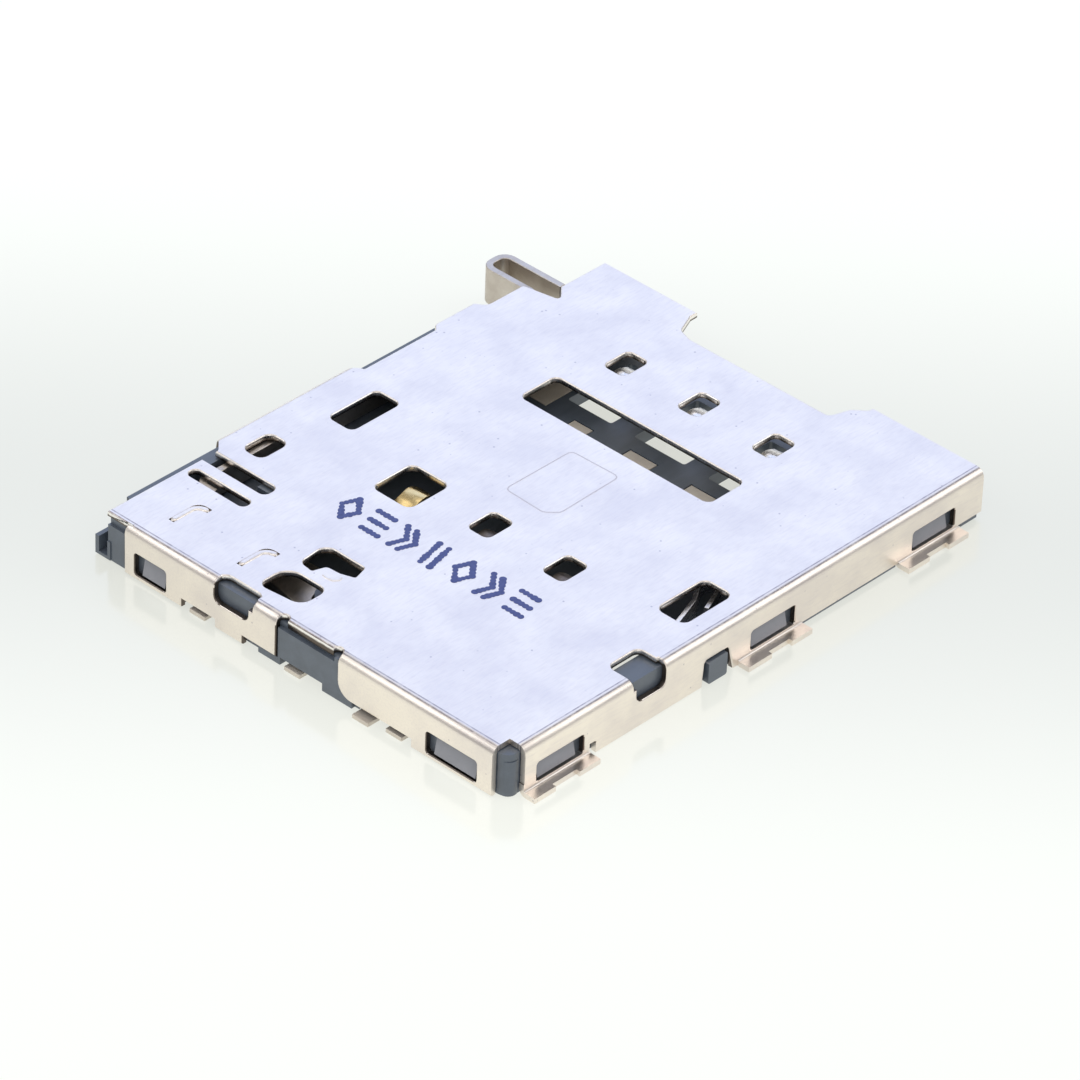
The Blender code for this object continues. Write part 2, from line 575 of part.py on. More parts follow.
def rod_channel():
    left = -HOUSING_HALF_X + LEFT_RAIL
    right = left + ROD_CHANNEL
    front = LEVER_BAY_BACK_Y - LEFT_RAIL
    outline = [(left, front), (right, front), (right, FAR_OUT), (-FAR_OUT, FAR_OUT),
               (-FAR_OUT, LEFT_RAIL_END_Y), (left, LEFT_RAIL_END_Y)]
    return prism("rod_channel_cut", outline, "z", FLOOR_TOP, FAR_OUT)


def pad_corner():
    """The floor is cut away where the rod's pad travels."""
    right = PAD_INNER_X + 2 * SLIDE_GAP
    front = PAD_RETURN_Y - ROD_STROKE - ROD_STRIP
    return prism("pad_corner_cut", box_outline(-FAR_OUT, right, front, FAR_OUT), "z", -SHEET, FAR_OUT)


def contact_windows():
    """For each contact: an opening round its tail step, a tunnel in the bridge and the spring's opening.

    One more opening lies beside the tray bay, where the switch spring's trace shows.
    """
    shapes = []
    half = CONTACT_ROOT_WIDTH / 2 + FIT_GAP
    wide = CONTACT_ROOT_WIDTH / 2 + WINDOW_SIDE_GAP
    tunnel_low = CONTACT_ROOT_Z - STRIP / 2 - FIT_GAP
    tunnel_high = CONTACT_ROOT_Z + STRIP / 2 + FIT_GAP
    rise, bridge = CONTACT_RISE, CONTACT_RISE + CONTACT_BRIDGE
    for x, far_left in zip(COLUMNS, FAR_OPENING_LEFT):
        shapes += [(x - wide, x + wide, NEAR_ROW_Y - bridge - STEP_OPENING, NEAR_ROW_Y - bridge),
                   (x - wide, x + wide, NEAR_ROW_Y - rise, NEAR_ROW_Y + LIP_OPENING),
                   (x - far_left, x + FAR_OPENING_RIGHT, FAR_ROW_Y - FAR_OPENING_FRONT, FAR_ROW_Y + rise),
                   (x - wide, x + wide, FAR_ROW_Y + bridge, FAR_ROW_Y + bridge + STEP_OPENING)]
    shapes.append(SWITCH_OPENING)
    openings = prisms("contact_window_cut", [(box_outline(*shape, OPENING_CORNER), "z", -SHEET, FLOOR_TOP + SHEET)
                                             for shape in shapes])
    tunnels = []
    for x in COLUMNS:
        for low_y in (NEAR_ROW_Y - bridge, FAR_ROW_Y + rise):
            tunnels.append((box_outline(x - half, x + half, tunnel_low, tunnel_high), "y",
                            low_y - STRIP, low_y + CONTACT_BRIDGE + STRIP))
    combine(openings, prisms("contact_tunnel_cut", tunnels), "UNION")
    return openings


def contact_grooves():
    """Grooves in the underside for the strips that run to the tails."""
    shapes = []
    depth = STRIP + FIT_GAP
    for stations in contact_layout().values():
        flat = [station for station in stations if station[2] <= STRIP]
        shapes.append((trace_outline(extended(flat), FIT_GAP), "z", -SHEET, depth))
    shapes.append((trace_outline(extended(switch_trace()), FIT_GAP), "z", -SHEET, depth))
    return prisms("contact_groove_cut", shapes)


def extended(stations):
    """Lengthen a flat run past its two ends, so that its groove is open there."""
    first, last = stations[0], stations[-1]
    reach = STRIP
    start = (first[0], first[1] - reach, first[2], first[3])
    end = (last[0], last[1] + reach, last[2], last[3])
    return [start] + stations[1:-1] + [end]


def switch_pockets():
    root_x, root_y = SWITCH_ROOT
    riser = box_outline(root_x - STRIP / 2 - FIT_GAP, root_x + STRIP / 2 + FIT_GAP,
                        root_y - FIT_GAP, root_y + SWITCH_RISER + FIT_GAP)
    slot = strip_outline(switch_contact_path(), STRIP + 2 * FIT_GAP)
    end_x, end_y = SWITCH_CONTACT_POINTS[0]
    end = box_outline(end_x - STRIP / 2 - FIT_GAP, end_x + STRIP / 2 + FIT_GAP, end_y - SLIDE_GAP, end_y + SLIDE_GAP)
    pocket = prisms("switch_pocket_cut", [(riser, "z", -SHEET, FLOOR_TOP + SHEET),
                                          (slot, "z", SWITCH_BOTTOM - FIT_GAP, FLOOR_TOP + SHEET)])
    combine(pocket, prism("switch_pocket_end", end, "z", SWITCH_BOTTOM - FIT_GAP, FLOOR_TOP + SHEET), "UNION")
    return pocket


def insert_pockets():
    low = FLOOR_TOP - INSERT_THICKNESS - FIT_GAP
    outlines = [box_outline(left - FIT_GAP, right + FIT_GAP, front - FIT_GAP, back + FIT_GAP)
                for left, right, front, back in INSERTS.values()]
    return prisms("insert_pocket_cut", [(outline, "z", low, FLOOR_TOP + SHEET) for outline in outlines])


def build_floor_inserts(material):
    for name, place in INSERTS.items():
        prism(name, box_outline(*place), "z", FLOOR_TOP - INSERT_THICKNESS, FLOOR_TOP, material)


def underside_relief():
    """Shallow reliefs along the front edge, over the contact tails."""
    back = HOUSING_FRONT_Y + TAIL_RELIEF_DEPTH
    return prisms("underside_relief_cut", [(box_outline(low, high, -FAR_OUT, back), "z", -SHEET, WALL_SKIRT)
                                           for low, high in TAIL_RELIEFS])


def front_features():
    """The blind block in the gap of the front wall, and the round posts in the two open corners."""
    bm = bmesh.new()
    arc = gap_corner(FIT_GAP)
    left = FRONT_GAP[0] + FIT_GAP
    low_x, high_x = BLOCK_FOOT_X
    end_x, end_rise = arc[0][0] - BLOCK_END[0], BLOCK_END[1]
    block = [(low_x, HOUSING_BOTTOM), (low_x, WALL_SKIRT - FIT_GAP), (left, WALL_SKIRT - FIT_GAP),
             (left, BLOCK_TOP), (end_x, BLOCK_TOP), (end_x, BLOCK_TOP + end_rise),
             (arc[0][0], BLOCK_TOP + end_rise)] + arc
    block += [(arc[-1][0], HOUSING_BOTTOM), (high_x, HOUSING_BOTTOM), (high_x, WALL_SKIRT),
              (BLOCK_STEP_X, WALL_SKIRT), (BLOCK_STEP_X, HOUSING_BOTTOM)]
    extrude_into(bm, block, "y", FRONT + BLOCK_SETBACK, HOUSING_FRONT_Y + OVERLAP)
    inset_x, inset_y, radius = CORNER_POST
    extrude_into(bm, circle_outline((RIGHT - inset_x, FRONT + inset_y), radius), "z", HOUSING_BOTTOM,
                 CORNER_POST_TOP)
    start, end, setback = SHOULDER
    shoulder = box_outline(start, end, FRONT + setback, HOUSING_FRONT_Y + FRONT_WALL)
    extrude_into(bm, shoulder, "z", HOUSING_BOTTOM, SHOULDER_TOP)
    start, end, top = NUB
    nub = box_outline(start, end, HOUSING_BOTTOM, top, NUB_PROUD)
    extrude_into(bm, nub, "x", HOUSING_HALF_X - OVERLAP, RIGHT + NUB_PROUD)
    return add_object("front_feature_add", bm)


def low_shoulder():
    """The front left corner: a low block with a pocket that is open to the front and the top."""
    left, front, back, top = LOW_SHOULDER
    wall, depth, floor = SHOULDER_POCKET
    right = SHOULDER[0]
    corner = prism("low_shoulder_add", box_outline(left, right + OVERLAP, front, back), "z", HOUSING_BOTTOM, top)
    inside = box_outline(left + wall, right, -FAR_OUT, front + depth)
    pocket = prism("low_shoulder_pocket", inside, "z", floor, FAR_OUT)
    combine(corner, pocket, "DIFFERENCE")
    return corner


def low_shoulder_room():
    """What the left rail lacks at the front left corner."""
    left, front, back, top = LOW_SHOULDER
    wall, depth, floor = SHOULDER_POCKET
    room = prism("low_shoulder_cut", box_outline(-FAR_OUT, SHOULDER[0], -FAR_OUT, back), "z", top, FAR_OUT)
    pocket = box_outline(left + wall, SHOULDER[0], -2 * FAR_OUT, front + depth)
    combine(room, prism("low_shoulder_pocket_cut", pocket, "z", floor, 2 * FAR_OUT), "UNION")
    return room


def side_sills():
    """The moulding's foot where it shows under the right wall's raised edges."""
    front, back = RIGHT_FEET[1][1] + 2 * FIT_GAP, RIGHT_FEET[2][0] - 2 * FIT_GAP
    sills = [(box_outline(front, back, HOUSING_BOTTOM, SIDE_SKIRT - FIT_GAP), "x", HOUSING_HALF_X - OVERLAP,
              RIGHT - SILL_PROUD),
             (box_outline(RIGHT_FEET[2][1] + SHEET, HOUSING_BACK_Y, HOUSING_BOTTOM, END_SKIRT - FIT_GAP), "x",
              HOUSING_HALF_X - OVERLAP, RIGHT - SILL_PROUD)]
    return prisms("side_sill_add", sills)


def latch_bosses():
    """Ramped bosses that snap into the side windows: proud at the foot, flush at the top."""
    bm = bmesh.new()
    inset = BOSS_INSET
    for low, high, bottom, top in FRONT_WINDOWS:
        wedge = [(HOUSING_FRONT_Y + OVERLAP, bottom + inset), (FRONT + BOSS_STANDOFF / 2, bottom + inset),
                 (HOUSING_FRONT_Y - FIT_GAP, top - inset), (HOUSING_FRONT_Y + OVERLAP, top - inset)]
        extrude_into(bm, wedge, "x", low + BOSS_END_GAP, high - inset)
    for low, high, bottom, top in RIGHT_WINDOWS:
        wedge = [(HOUSING_HALF_X - OVERLAP, bottom + inset), (RIGHT - BOSS_STANDOFF / 2, bottom + inset),
                 (HOUSING_HALF_X + FIT_GAP, top - inset), (HOUSING_HALF_X - OVERLAP, top - inset)]
        extrude_into(bm, wedge, "y", low + inset, high - BOSS_END_GAP)
    return add_object("latch_boss_add", bm)


def pivot_post():
    top = LEVER_BOTTOM + LEVER_SHEET + SHEET
    return prism("pivot_post_add", circle_outline((PIVOT_X, PIVOT_Y), PIVOT_POST_RADIUS), "z",
                 FLOOR_TOP - SHEET, top)


# Cover

def channel_profile():
    """The sheet in section across the body: the top plate with a wall folded down on either side."""
    half, top = RIGHT, BODY_HEIGHT
    inner, under = RIGHT - SHEET, UNDER_COVER
    small = BEND_RADIUS - SHEET
    corners = [(-half, WALL_LIFT), (-half, top), (half, top), (half, WALL_LIFT),
               (inner, WALL_LIFT), (inner, under), (-inner, under), (-inner, WALL_LIFT)]
    return rounded(corners, [0, BEND_RADIUS, BEND_RADIUS, 0, 0, small, small, 0])


def front_profile():
    """The sheet in section along the body: a strip of the top plate with the front wall folded down."""
    front, inner = FRONT, FRONT + SHEET
    overlap = CHANNEL_FRONT_Y + SHEET
    corners = [(front, WALL_LIFT), (front, BODY_HEIGHT), (overlap, BODY_HEIGHT), (overlap, UNDER_COVER),
               (inner, UNDER_COVER), (inner, WALL_LIFT)]
    return rounded(corners, [0, BEND_RADIUS, 0, 0, BEND_RADIUS - SHEET, 0])


def build_cover(material):
    cover = prism("cover_shell", channel_profile(), "y", CHANNEL_FRONT_Y, BACK, material)
    front_start, front_end = FRONT_WALL_SPAN
    combine(cover, prism("cover_front_fold", front_profile(), "x", front_start, front_end), "UNION")
    overhang = box_outline(CORNER_PLATE_X, front_start + SHEET, FRONT + SHEET, CHANNEL_FRONT_Y + SHEET)
    combine(cover, prism("cover_corner_plate", overhang, "z", UNDER_COVER, BODY_HEIGHT), "UNION")
    combine(cover, outline_cuts(), "DIFFERENCE")
    combine(cover, front_wall_cuts(), "DIFFERENCE")
    combine(cover, side_wall_cuts(), "DIFFERENCE")
    combine(cover, fold_notch_cuts(), "DIFFERENCE")
    combine(cover, top_hole_cuts(), "DIFFERENCE")
    combine(cover, crescent_cuts(), "DIFFERENCE")
    combine(cover, solder_feet(), "UNION")
    combine(cover, wall_window_cuts(), "DIFFERENCE")
    return cover


def outline_cuts():
    """What the blank lacks along its edges, as upright prisms through the whole height."""
    far = FAR_OUT
    plate_left = CORNER_PLATE_X
    plate_front = FRONT + SHEET
    left_start = LEFT_WALL[0]
    front_left = [(plate_left, -far), (plate_left, left_start - FRONT_LEFT_CHAMFER),
                  (plate_left - FRONT_LEFT_CHAMFER, left_start), (-far, left_start), (-far, -far)]
    back_left = outline_between((-far, LEFT_EDGE[0][1]), LEFT_EDGE, (LEFT_EDGE[-1][0], far))
    mouth_start, mouth_end = TRAY_NOTCH_MOUTH
    tray_notch = outline_between((mouth_start, far), TRAY_NOTCH, (mouth_end, far))
    outlines = [front_left, back_left + [(-far, far)], tray_notch, box_outline(*FRONT_GAP, -far, plate_front)]
    cuts = prisms("cover_outline_cut", [(outline, "z", -SHEET, far) for outline in outlines])
    reliefs = [(circle_outline((x, plate_front), BEND_RELIEF_RADIUS, 12), "z", UNDER_COVER - SHEET, far)
               for x in BEND_RELIEF_X]
    combine(cuts, prisms("cover_bend_relief", reliefs), "UNION")
    return cuts


def outline_between(start, corners, end):
    """A start point, corners given as (x, y, radius) and an end point, as one rounded outline."""
    points = [start] + [(x, y) for x, y, _ in corners] + [end]
    return rounded(points, [0.0] + [radius for _, _, radius in corners] + [0.0], 3)


def gap_corner(offset):
    """The round lower corner of the front wall beside its gap, from its side down to the skirt."""
    centre_x = FRONT_GAP[1] + WALL_CORNER_RADIUS
    centre_z = WALL_SKIRT + WALL_CORNER_RADIUS
    radius = WALL_CORNER_RADIUS + offset
    angles = [math.radians(degrees) for degrees in range(180, 271, 15)]
    return [(centre_x + radius * math.cos(angle), centre_z + radius * math.sin(angle)) for angle in angles]


def front_wall_cuts():
    """The stepped lower edge of the front wall and its round corner beside the gap."""
    arc = gap_corner(0.0)
    beyond = FRONT_GAP[1] - SHEET
    sweep = [(beyond, -SHEET), (beyond, arc[0][1])] + arc + [(arc[-1][0], -SHEET)]
    spans = FRONT_SKIRT_SPANS + ((arc[-1][0] - SHEET, FRONT_SKIRT_END_X),)
    shapes = [(box_outline(low, high, -2 * SHEET, WALL_SKIRT), "y", -FAR_OUT, BAY_FRONT_Y) for low, high in spans]
    cuts = prisms("front_wall_cut", shapes)
    combine(cuts, prism("front_wall_sweep", sweep, "y", -FAR_OUT - SHEET, BAY_FRONT_Y + SHEET), "UNION")
    return cuts


def side_wall_cuts():
    """The notch for the nub, the raised lower edges and the roots of the feet."""
    root = FOOT_INNER_RADIUS + SHEET
    notch_z = (-SHEET, -SHEET, NUB_NOTCH_TOP, NUB_NOTCH_TOP)
    notch = rounded([(y, z) for (y, _), z in zip(NUB_NOTCH, notch_z)], [radius for _, radius in NUB_NOTCH])
    relief_length, relief_top, relief_corner = FOOT_RELIEF
    relief_y = RIGHT_FEET[0][1]
    relief = box_outline(relief_y - FIT_GAP, relief_y + relief_length, -2 * SHEET, relief_top, relief_corner)
    right_outlines = [notch, relief, box_outline(RIGHT_FEET[1][1], RIGHT_FEET[2][0], -SHEET, SIDE_SKIRT),
                      box_outline(RIGHT_FEET[2][1], FAR_OUT, -SHEET, END_SKIRT)]
    shapes = [(outline, "x", BAY_RIGHT_X, FAR_OUT) for outline in right_outlines]
    cuts = prisms("side_wall_cut", shapes)
    lift = [(box_outline(start, end, -2 * SHEET, root), "x", BAY_RIGHT_X - SHEET, 2 * FAR_OUT)
            for start, end, _, _ in RIGHT_FEET]
    lift.append((box_outline(LEFT_FOOT[0], LEFT_FOOT[1], -SHEET, root), "x", -FAR_OUT, -BAY_RIGHT_X))
    combine(cuts, prisms("foot_root_cut", lift), "UNION")
    return cuts


def wall_window_cuts():
    shapes = [(box_outline(low, high, bottom, top, WINDOW_CORNER), "y", -FAR_OUT, BAY_FRONT_Y)
              for low, high, bottom, top in FRONT_WINDOWS]
    shapes += [(box_outline(low, high, bottom, top, WINDOW_CORNER), "x", BAY_RIGHT_X, FAR_OUT)
               for low, high, bottom, top in RIGHT_WINDOWS]
    return prisms("wall_window_cut", shapes)


def fold_notch_cuts():
    """The two openings that run over the fold, from the top plate down into a wall."""
    left, right, back = FRONT_FOLD_TOP
    front_top = box_outline(left, right, -FAR_OUT, back, FOLD_CORNER)
    left, right, bottom = FRONT_FOLD_WALL
    front_wall = box_outline(left, right, bottom, FAR_OUT, FOLD_CORNER)
    inner, front, back = SIDE_FOLD_TOP
    side_top = box_outline(inner, FAR_OUT, front, back, FOLD_CORNER)
    front, back, bottom = SIDE_FOLD_WALL
    side_wall = box_outline(front, back, bottom, FAR_OUT, FOLD_CORNER)
    upper = UNDER_COVER - SHEET
    cuts = prisms("fold_notch_cut", [(front_top, "z", upper, FAR_OUT), (side_top, "z", upper, FAR_OUT)])
    walls = prisms("fold_notch_wall_cut", [(front_wall, "y", -FAR_OUT, FRONT + 2 * SHEET),
                                           (side_wall, "x", RIGHT - 2 * SHEET, FAR_OUT)])
    combine(cuts, walls, "UNION")
    return cuts


def over_pivot(corners):
    """A closed outline from corners given as (x, y, radius) from the lever's pivot."""
    return rounded([(PIVOT_X + x, PIVOT_Y + y) for x, y, _ in corners], [radius for _, _, radius in corners])


def top_hole_cuts():
    """Viewing holes over the contact lips, the long slot and the holes over the ejector and the switch."""
    boxes = [LONG_SLOT, ROD_HOLE, ROD_END_HOLE, SWITCH_HOLE, FOOT_SLOT, EDGE_SLOT, WIDE_LIP_HOLE]
    width, length, corner = LIP_HOLE
    for row_y in (NEAR_ROW_Y, FAR_ROW_Y):
        for x in COLUMNS:
            if row_y == FAR_ROW_Y or x != COLUMNS[0]:
                boxes.append((x - width / 2, x + width / 2, row_y - length / 2, row_y + length / 2, corner))
    outlines = [box_outline(*box) for box in boxes] + [over_pivot(EYE_HOLE), over_pivot(KIDNEY_HOLE)]
    return prisms("cover_top_cut", [(outline, "z", UNDER_COVER - SHEET, FAR_OUT) for outline in outlines])


def crescent_cuts():
    """Two crescent marks that are coined into the top near the front edge."""
    depth = SHEET / 2
    shapes = []
    for x, y in CRESCENT_PLACES:
        front, back = y - CRESCENT_HALF, y + CRESCENT_HALF
        line = path_with_bends([(x, front), (x, back), (x + CRESCENT_HOOK, back)], CRESCENT_RADIUS)
        shapes.append((strip_outline(line, CRESCENT_WIDTH), "z", BODY_HEIGHT - depth, FAR_OUT))
    return prisms("crescent_cut", shapes)


def foot_profile(side):
    """A foot in section: down the wall, round the bend and out on the solder plane."""
    bend_x = RIGHT + FOOT_INNER_RADIUS
    bend_z = SHEET + FOOT_INNER_RADIUS
    overlap = bend_z + SHEET
    profile = [(RIGHT - SHEET, overlap), (RIGHT, overlap)]
    for step in range(ARC_STEPS + 1):
        angle = math.pi + math.pi / 2 * step / ARC_STEPS
        profile.append((bend_x + FOOT_INNER_RADIUS * math.cos(angle), bend_z + FOOT_INNER_RADIUS * math.sin(angle)))
    profile += [(RIGHT + FOOT_REACH, SHEET), (RIGHT + FOOT_REACH, 0.0)]
    for step in range(ARC_STEPS + 1):
        angle = 1.5 * math.pi - math.pi / 2 * step / ARC_STEPS
        profile.append((bend_x + bend_z * math.cos(angle), bend_z + bend_z * math.sin(angle)))
    return [(side * x, z) for x, z in profile]


def solder_feet():
    feet = [(foot_profile(1), "y", start, end) for start, end, _, _ in RIGHT_FEET]
    feet.append((foot_profile(-1), "y", LEFT_FOOT[0], LEFT_FOOT[1]))
    pieces = prisms("solder_foot_add", feet)
    toe_x = RIGHT + FOOT_REACH - TOE_RELIEF
    reliefs = [(box_outline(toe_x, FAR_OUT, low, high), "z", -SHEET, WALL_SKIRT) for _, _, low, high in RIGHT_FEET]
    reliefs.append((box_outline(-FAR_OUT, -toe_x, LEFT_FOOT[2], LEFT_FOOT[3]), "z", -SHEET, WALL_SKIRT))
    combine(pieces, prisms("toe_relief_cut", reliefs), "DIFFERENCE")
    return pieces


def shade_round_parts():
    for obj in bpy.context.scene.objects:
        if obj.type == "MESH" and not obj.hide_render:
            obj.data.shade_smooth()
            obj.data.set_sharp_from_angle(angle=math.radians(30))


def main():
    clear_scene()
    steel = make_material("nickel_plated_stainless", (0.80, 0.80, 0.86), 1.0, 0.34)
    gold = make_material("gold_over_nickel_bronze", (0.83, 0.62, 0.27), 1.0, 0.25)
    polymer = make_material("liquid_crystal_polymer", (0.055, 0.065, 0.080), 0.0, 0.55)
    blank = make_material("stamped_steel", (0.50, 0.47, 0.42), 1.0, 0.38)
    build_cover(steel)
    build_housing(polymer)
    for name, stations in contact_layout().items():
        build_contact(name, stations, gold)
    build_switch_spring(gold)
    build_switch_contact(gold)
    build_floor_inserts(blank)
    build_push_rod(blank)
    build_eject_lever(blank)
    shade_round_parts()


main()
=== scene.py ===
# %% [markdown]
# # Dressing a SIM card socket
#
# The solids of this socket come ready made: a folded metal cover on a dark moulding, six card
# contacts, a small switch, and a push rod that turns an eject lever. This lesson gives them the
# finish of the real thing. It rounds the sheared edges, mixes metals and plastic from nodes, prints a
# row of ink dots, and sets up a bright table-top photograph of the part.
#
# The first cell loads the solids. They are the frame for everything that follows: each new piece is
# placed by the sizes that they give, in metres, and rides on one of their bodies.

# %% Load the solids
import math

import bmesh
import bpy
from mathutils import Matrix, Vector


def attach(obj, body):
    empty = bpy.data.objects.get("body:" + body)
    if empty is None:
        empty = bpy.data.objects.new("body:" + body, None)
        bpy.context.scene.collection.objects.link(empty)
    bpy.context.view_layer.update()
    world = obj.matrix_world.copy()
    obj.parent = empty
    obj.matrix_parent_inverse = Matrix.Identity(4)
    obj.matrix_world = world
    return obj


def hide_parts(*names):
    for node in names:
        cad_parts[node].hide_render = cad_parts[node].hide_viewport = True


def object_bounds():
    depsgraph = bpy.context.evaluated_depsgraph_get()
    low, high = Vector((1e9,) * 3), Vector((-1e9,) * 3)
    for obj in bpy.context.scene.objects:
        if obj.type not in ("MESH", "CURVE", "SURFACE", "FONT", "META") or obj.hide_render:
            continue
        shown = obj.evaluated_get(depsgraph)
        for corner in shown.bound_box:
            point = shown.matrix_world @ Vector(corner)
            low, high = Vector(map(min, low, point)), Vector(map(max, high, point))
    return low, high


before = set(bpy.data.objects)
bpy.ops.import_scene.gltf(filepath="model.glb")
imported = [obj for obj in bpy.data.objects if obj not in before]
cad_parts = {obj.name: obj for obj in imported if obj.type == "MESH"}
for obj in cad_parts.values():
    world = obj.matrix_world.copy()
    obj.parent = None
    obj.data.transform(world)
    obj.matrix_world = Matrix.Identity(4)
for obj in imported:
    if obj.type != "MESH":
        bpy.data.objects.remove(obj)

MM = 0.001
solid_low, solid_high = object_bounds()
print("solids' box, mm:", [round(v / MM, 2) for v in (*solid_low, *solid_high)])

# %% [markdown]
# ## Colours and nodes
#
# Colours are given as sRGB hex values, but shaders count in linear light, so one function
# turns one into the other. A second function adds a node, sets it up and links it. Every material and
# every Geometry Nodes tree below is written with these two.
#
# A Mix node has its plain numbers in inputs 2 and 3 and its colours in inputs 6 and 7, and its colour
# comes out of output 2. Inputs with names of their own are named.

# %% Colour and node helpers
def colour(hex_value):
    """Linear RGBA from an sRGB hex value such as 'D9CFC0'."""
    channels = [int(hex_value[i:i + 2], 16) / 255 for i in (0, 2, 4)]
    return (*[c / 12.92 if c <= 0.04045 else ((c + 0.055) / 1.055) ** 2.4 for c in channels], 1.0)


def add(tree, kind, inputs=None, **settings):
    """Add a node. An input's value is a number, a colour, a vector or another node's output."""
    node = tree.nodes.new(kind)
    for name, value in settings.items():
        setattr(node, name, value)
    for key, value in (inputs or {}).items():
        if isinstance(value, bpy.types.NodeSocket):
            tree.links.new(value, node.inputs[key])
        else:
            node.inputs[key].default_value = value
    return node


def new_material(name):
    """An empty node material with its shader, its output and the Object coordinates."""
    material = bpy.data.materials.new(name)
    material.use_nodes = True
    tree = material.node_tree
    tree.nodes.clear()
    shader = add(tree, "ShaderNodeBsdfPrincipled")
    add(tree, "ShaderNodeOutputMaterial", {"Surface": shader.outputs[0]})
    place = add(tree, "ShaderNodeTexCoord").outputs["Object"]
    return material, tree, shader, place


def per_metre(grain_mm):
    """The Scale of a noise whose grains are this many millimetres wide."""
    return 1 / (grain_mm * MM)


print("warm nickel, linear:", [round(v, 3) for v in colour("F4E8D8")])

# %% [markdown]
# ## The cover's metal
#
# The cover is thin stainless sheet, rolled and then nickel plated. Rolling leaves fine streaks along
# the sheet and a slightly uneven sheen. Plating gives a warm tint, and handling leaves tiny specks.
#
# Two marks are made first, each as a mask that is 1 on the mark and 0 beside it. The specks are the
# middles of small Voronoi cells, and a broad noise picks a few of them. The fold lines are two thin
# dark lines with breaks in them along each fold, one where the fold begins and one a little further out.

# %% Specks and fold lines
FOLD_X, FOLD_Y = 6.91 * MM, -8.36 * MM
LINE_PITCH = 0.09 * MM
LINE_HALF_WIDTH = 0.028 * MM


def speck_mask(tree, place):
    """Up to 0.55 on tiny specks, 0 elsewhere."""
    cells = add(tree, "ShaderNodeTexVoronoi",
                {"Vector": place, "Scale": per_metre(0.30)}).outputs["Distance"]
    specks = add(tree, "ShaderNodeMapRange",
                 {"Value": cells, "From Min": 0.06, "From Max": 0.12,
                  "To Min": 1.0, "To Max": 0.0}).outputs[0]
    chosen = add(tree, "ShaderNodeTexNoise",
                 {"Vector": place, "Scale": per_metre(0.55), "Detail": 1.0}).outputs[0]
    chosen = add(tree, "ShaderNodeMapRange",
                 {"Value": chosen, "From Min": 0.52, "From Max": 0.60,
                  "To Min": 0.0, "To Max": 0.55}).outputs[0]
    return add(tree, "ShaderNodeMath", {0: specks, 1: chosen}, operation="MULTIPLY").outputs[0]


def thin_line_mask(tree, place, axis, at):
    """1 on a thin line across an axis, 0 elsewhere."""
    value = add(tree, "ShaderNodeSeparateXYZ", {0: place}).outputs[axis]
    away = add(tree, "ShaderNodeMath", {0: value, 1: at}, operation="SUBTRACT").outputs[0]
    away = add(tree, "ShaderNodeMath", {0: away}, operation="ABSOLUTE").outputs[0]
    return add(tree, "ShaderNodeMapRange",
               {"Value": away, "From Min": 0.3 * LINE_HALF_WIDTH, "From Max": LINE_HALF_WIDTH,
                "To Min": 1.0, "To Max": 0.0}).outputs[0]


def fold_line_mask(tree, place):
    """Up to 0.80 on the two lines beside each fold, 0 elsewhere."""
    dim = 0.0
    for axis, fold in (("X", FOLD_X), ("Y", FOLD_Y)):
        for shift in (0.0, LINE_PITCH):
            line = thin_line_mask(tree, place, axis, math.copysign(abs(fold) + shift, fold))
            dim = add(tree, "ShaderNodeMath", {0: dim, 1: line}, operation="MAXIMUM").outputs[0]
    breaks = add(tree, "ShaderNodeTexNoise",
                 {"Vector": place, "Scale": per_metre(0.22), "Detail": 3.0}).outputs[0]
    breaks = add(tree, "ShaderNodeMapRange",
                 {"Value": breaks, "From Min": 0.30, "From Max": 0.60,
                  "To Min": 0.35, "To Max": 0.80}).outputs[0]
    return add(tree, "ShaderNodeMath", {0: dim, 1: breaks}, operation="MULTIPLY").outputs[0]


print("rub lines, mm:",
      [round(v / MM, 2) for v in (FOLD_X, FOLD_X + LINE_PITCH, FOLD_Y, FOLD_Y - LINE_PITCH)])

# %% [markdown]
# One stretched noise makes the streaks, in the roughness and faintly in the colour, and one broad noise
# the uneven sheen. The grain is drawn about 0.06 mm wide, coarser than the real one, so that it shows at
# all. To the eye this gives a plate that mirrors its surroundings softly, never quite evenly.

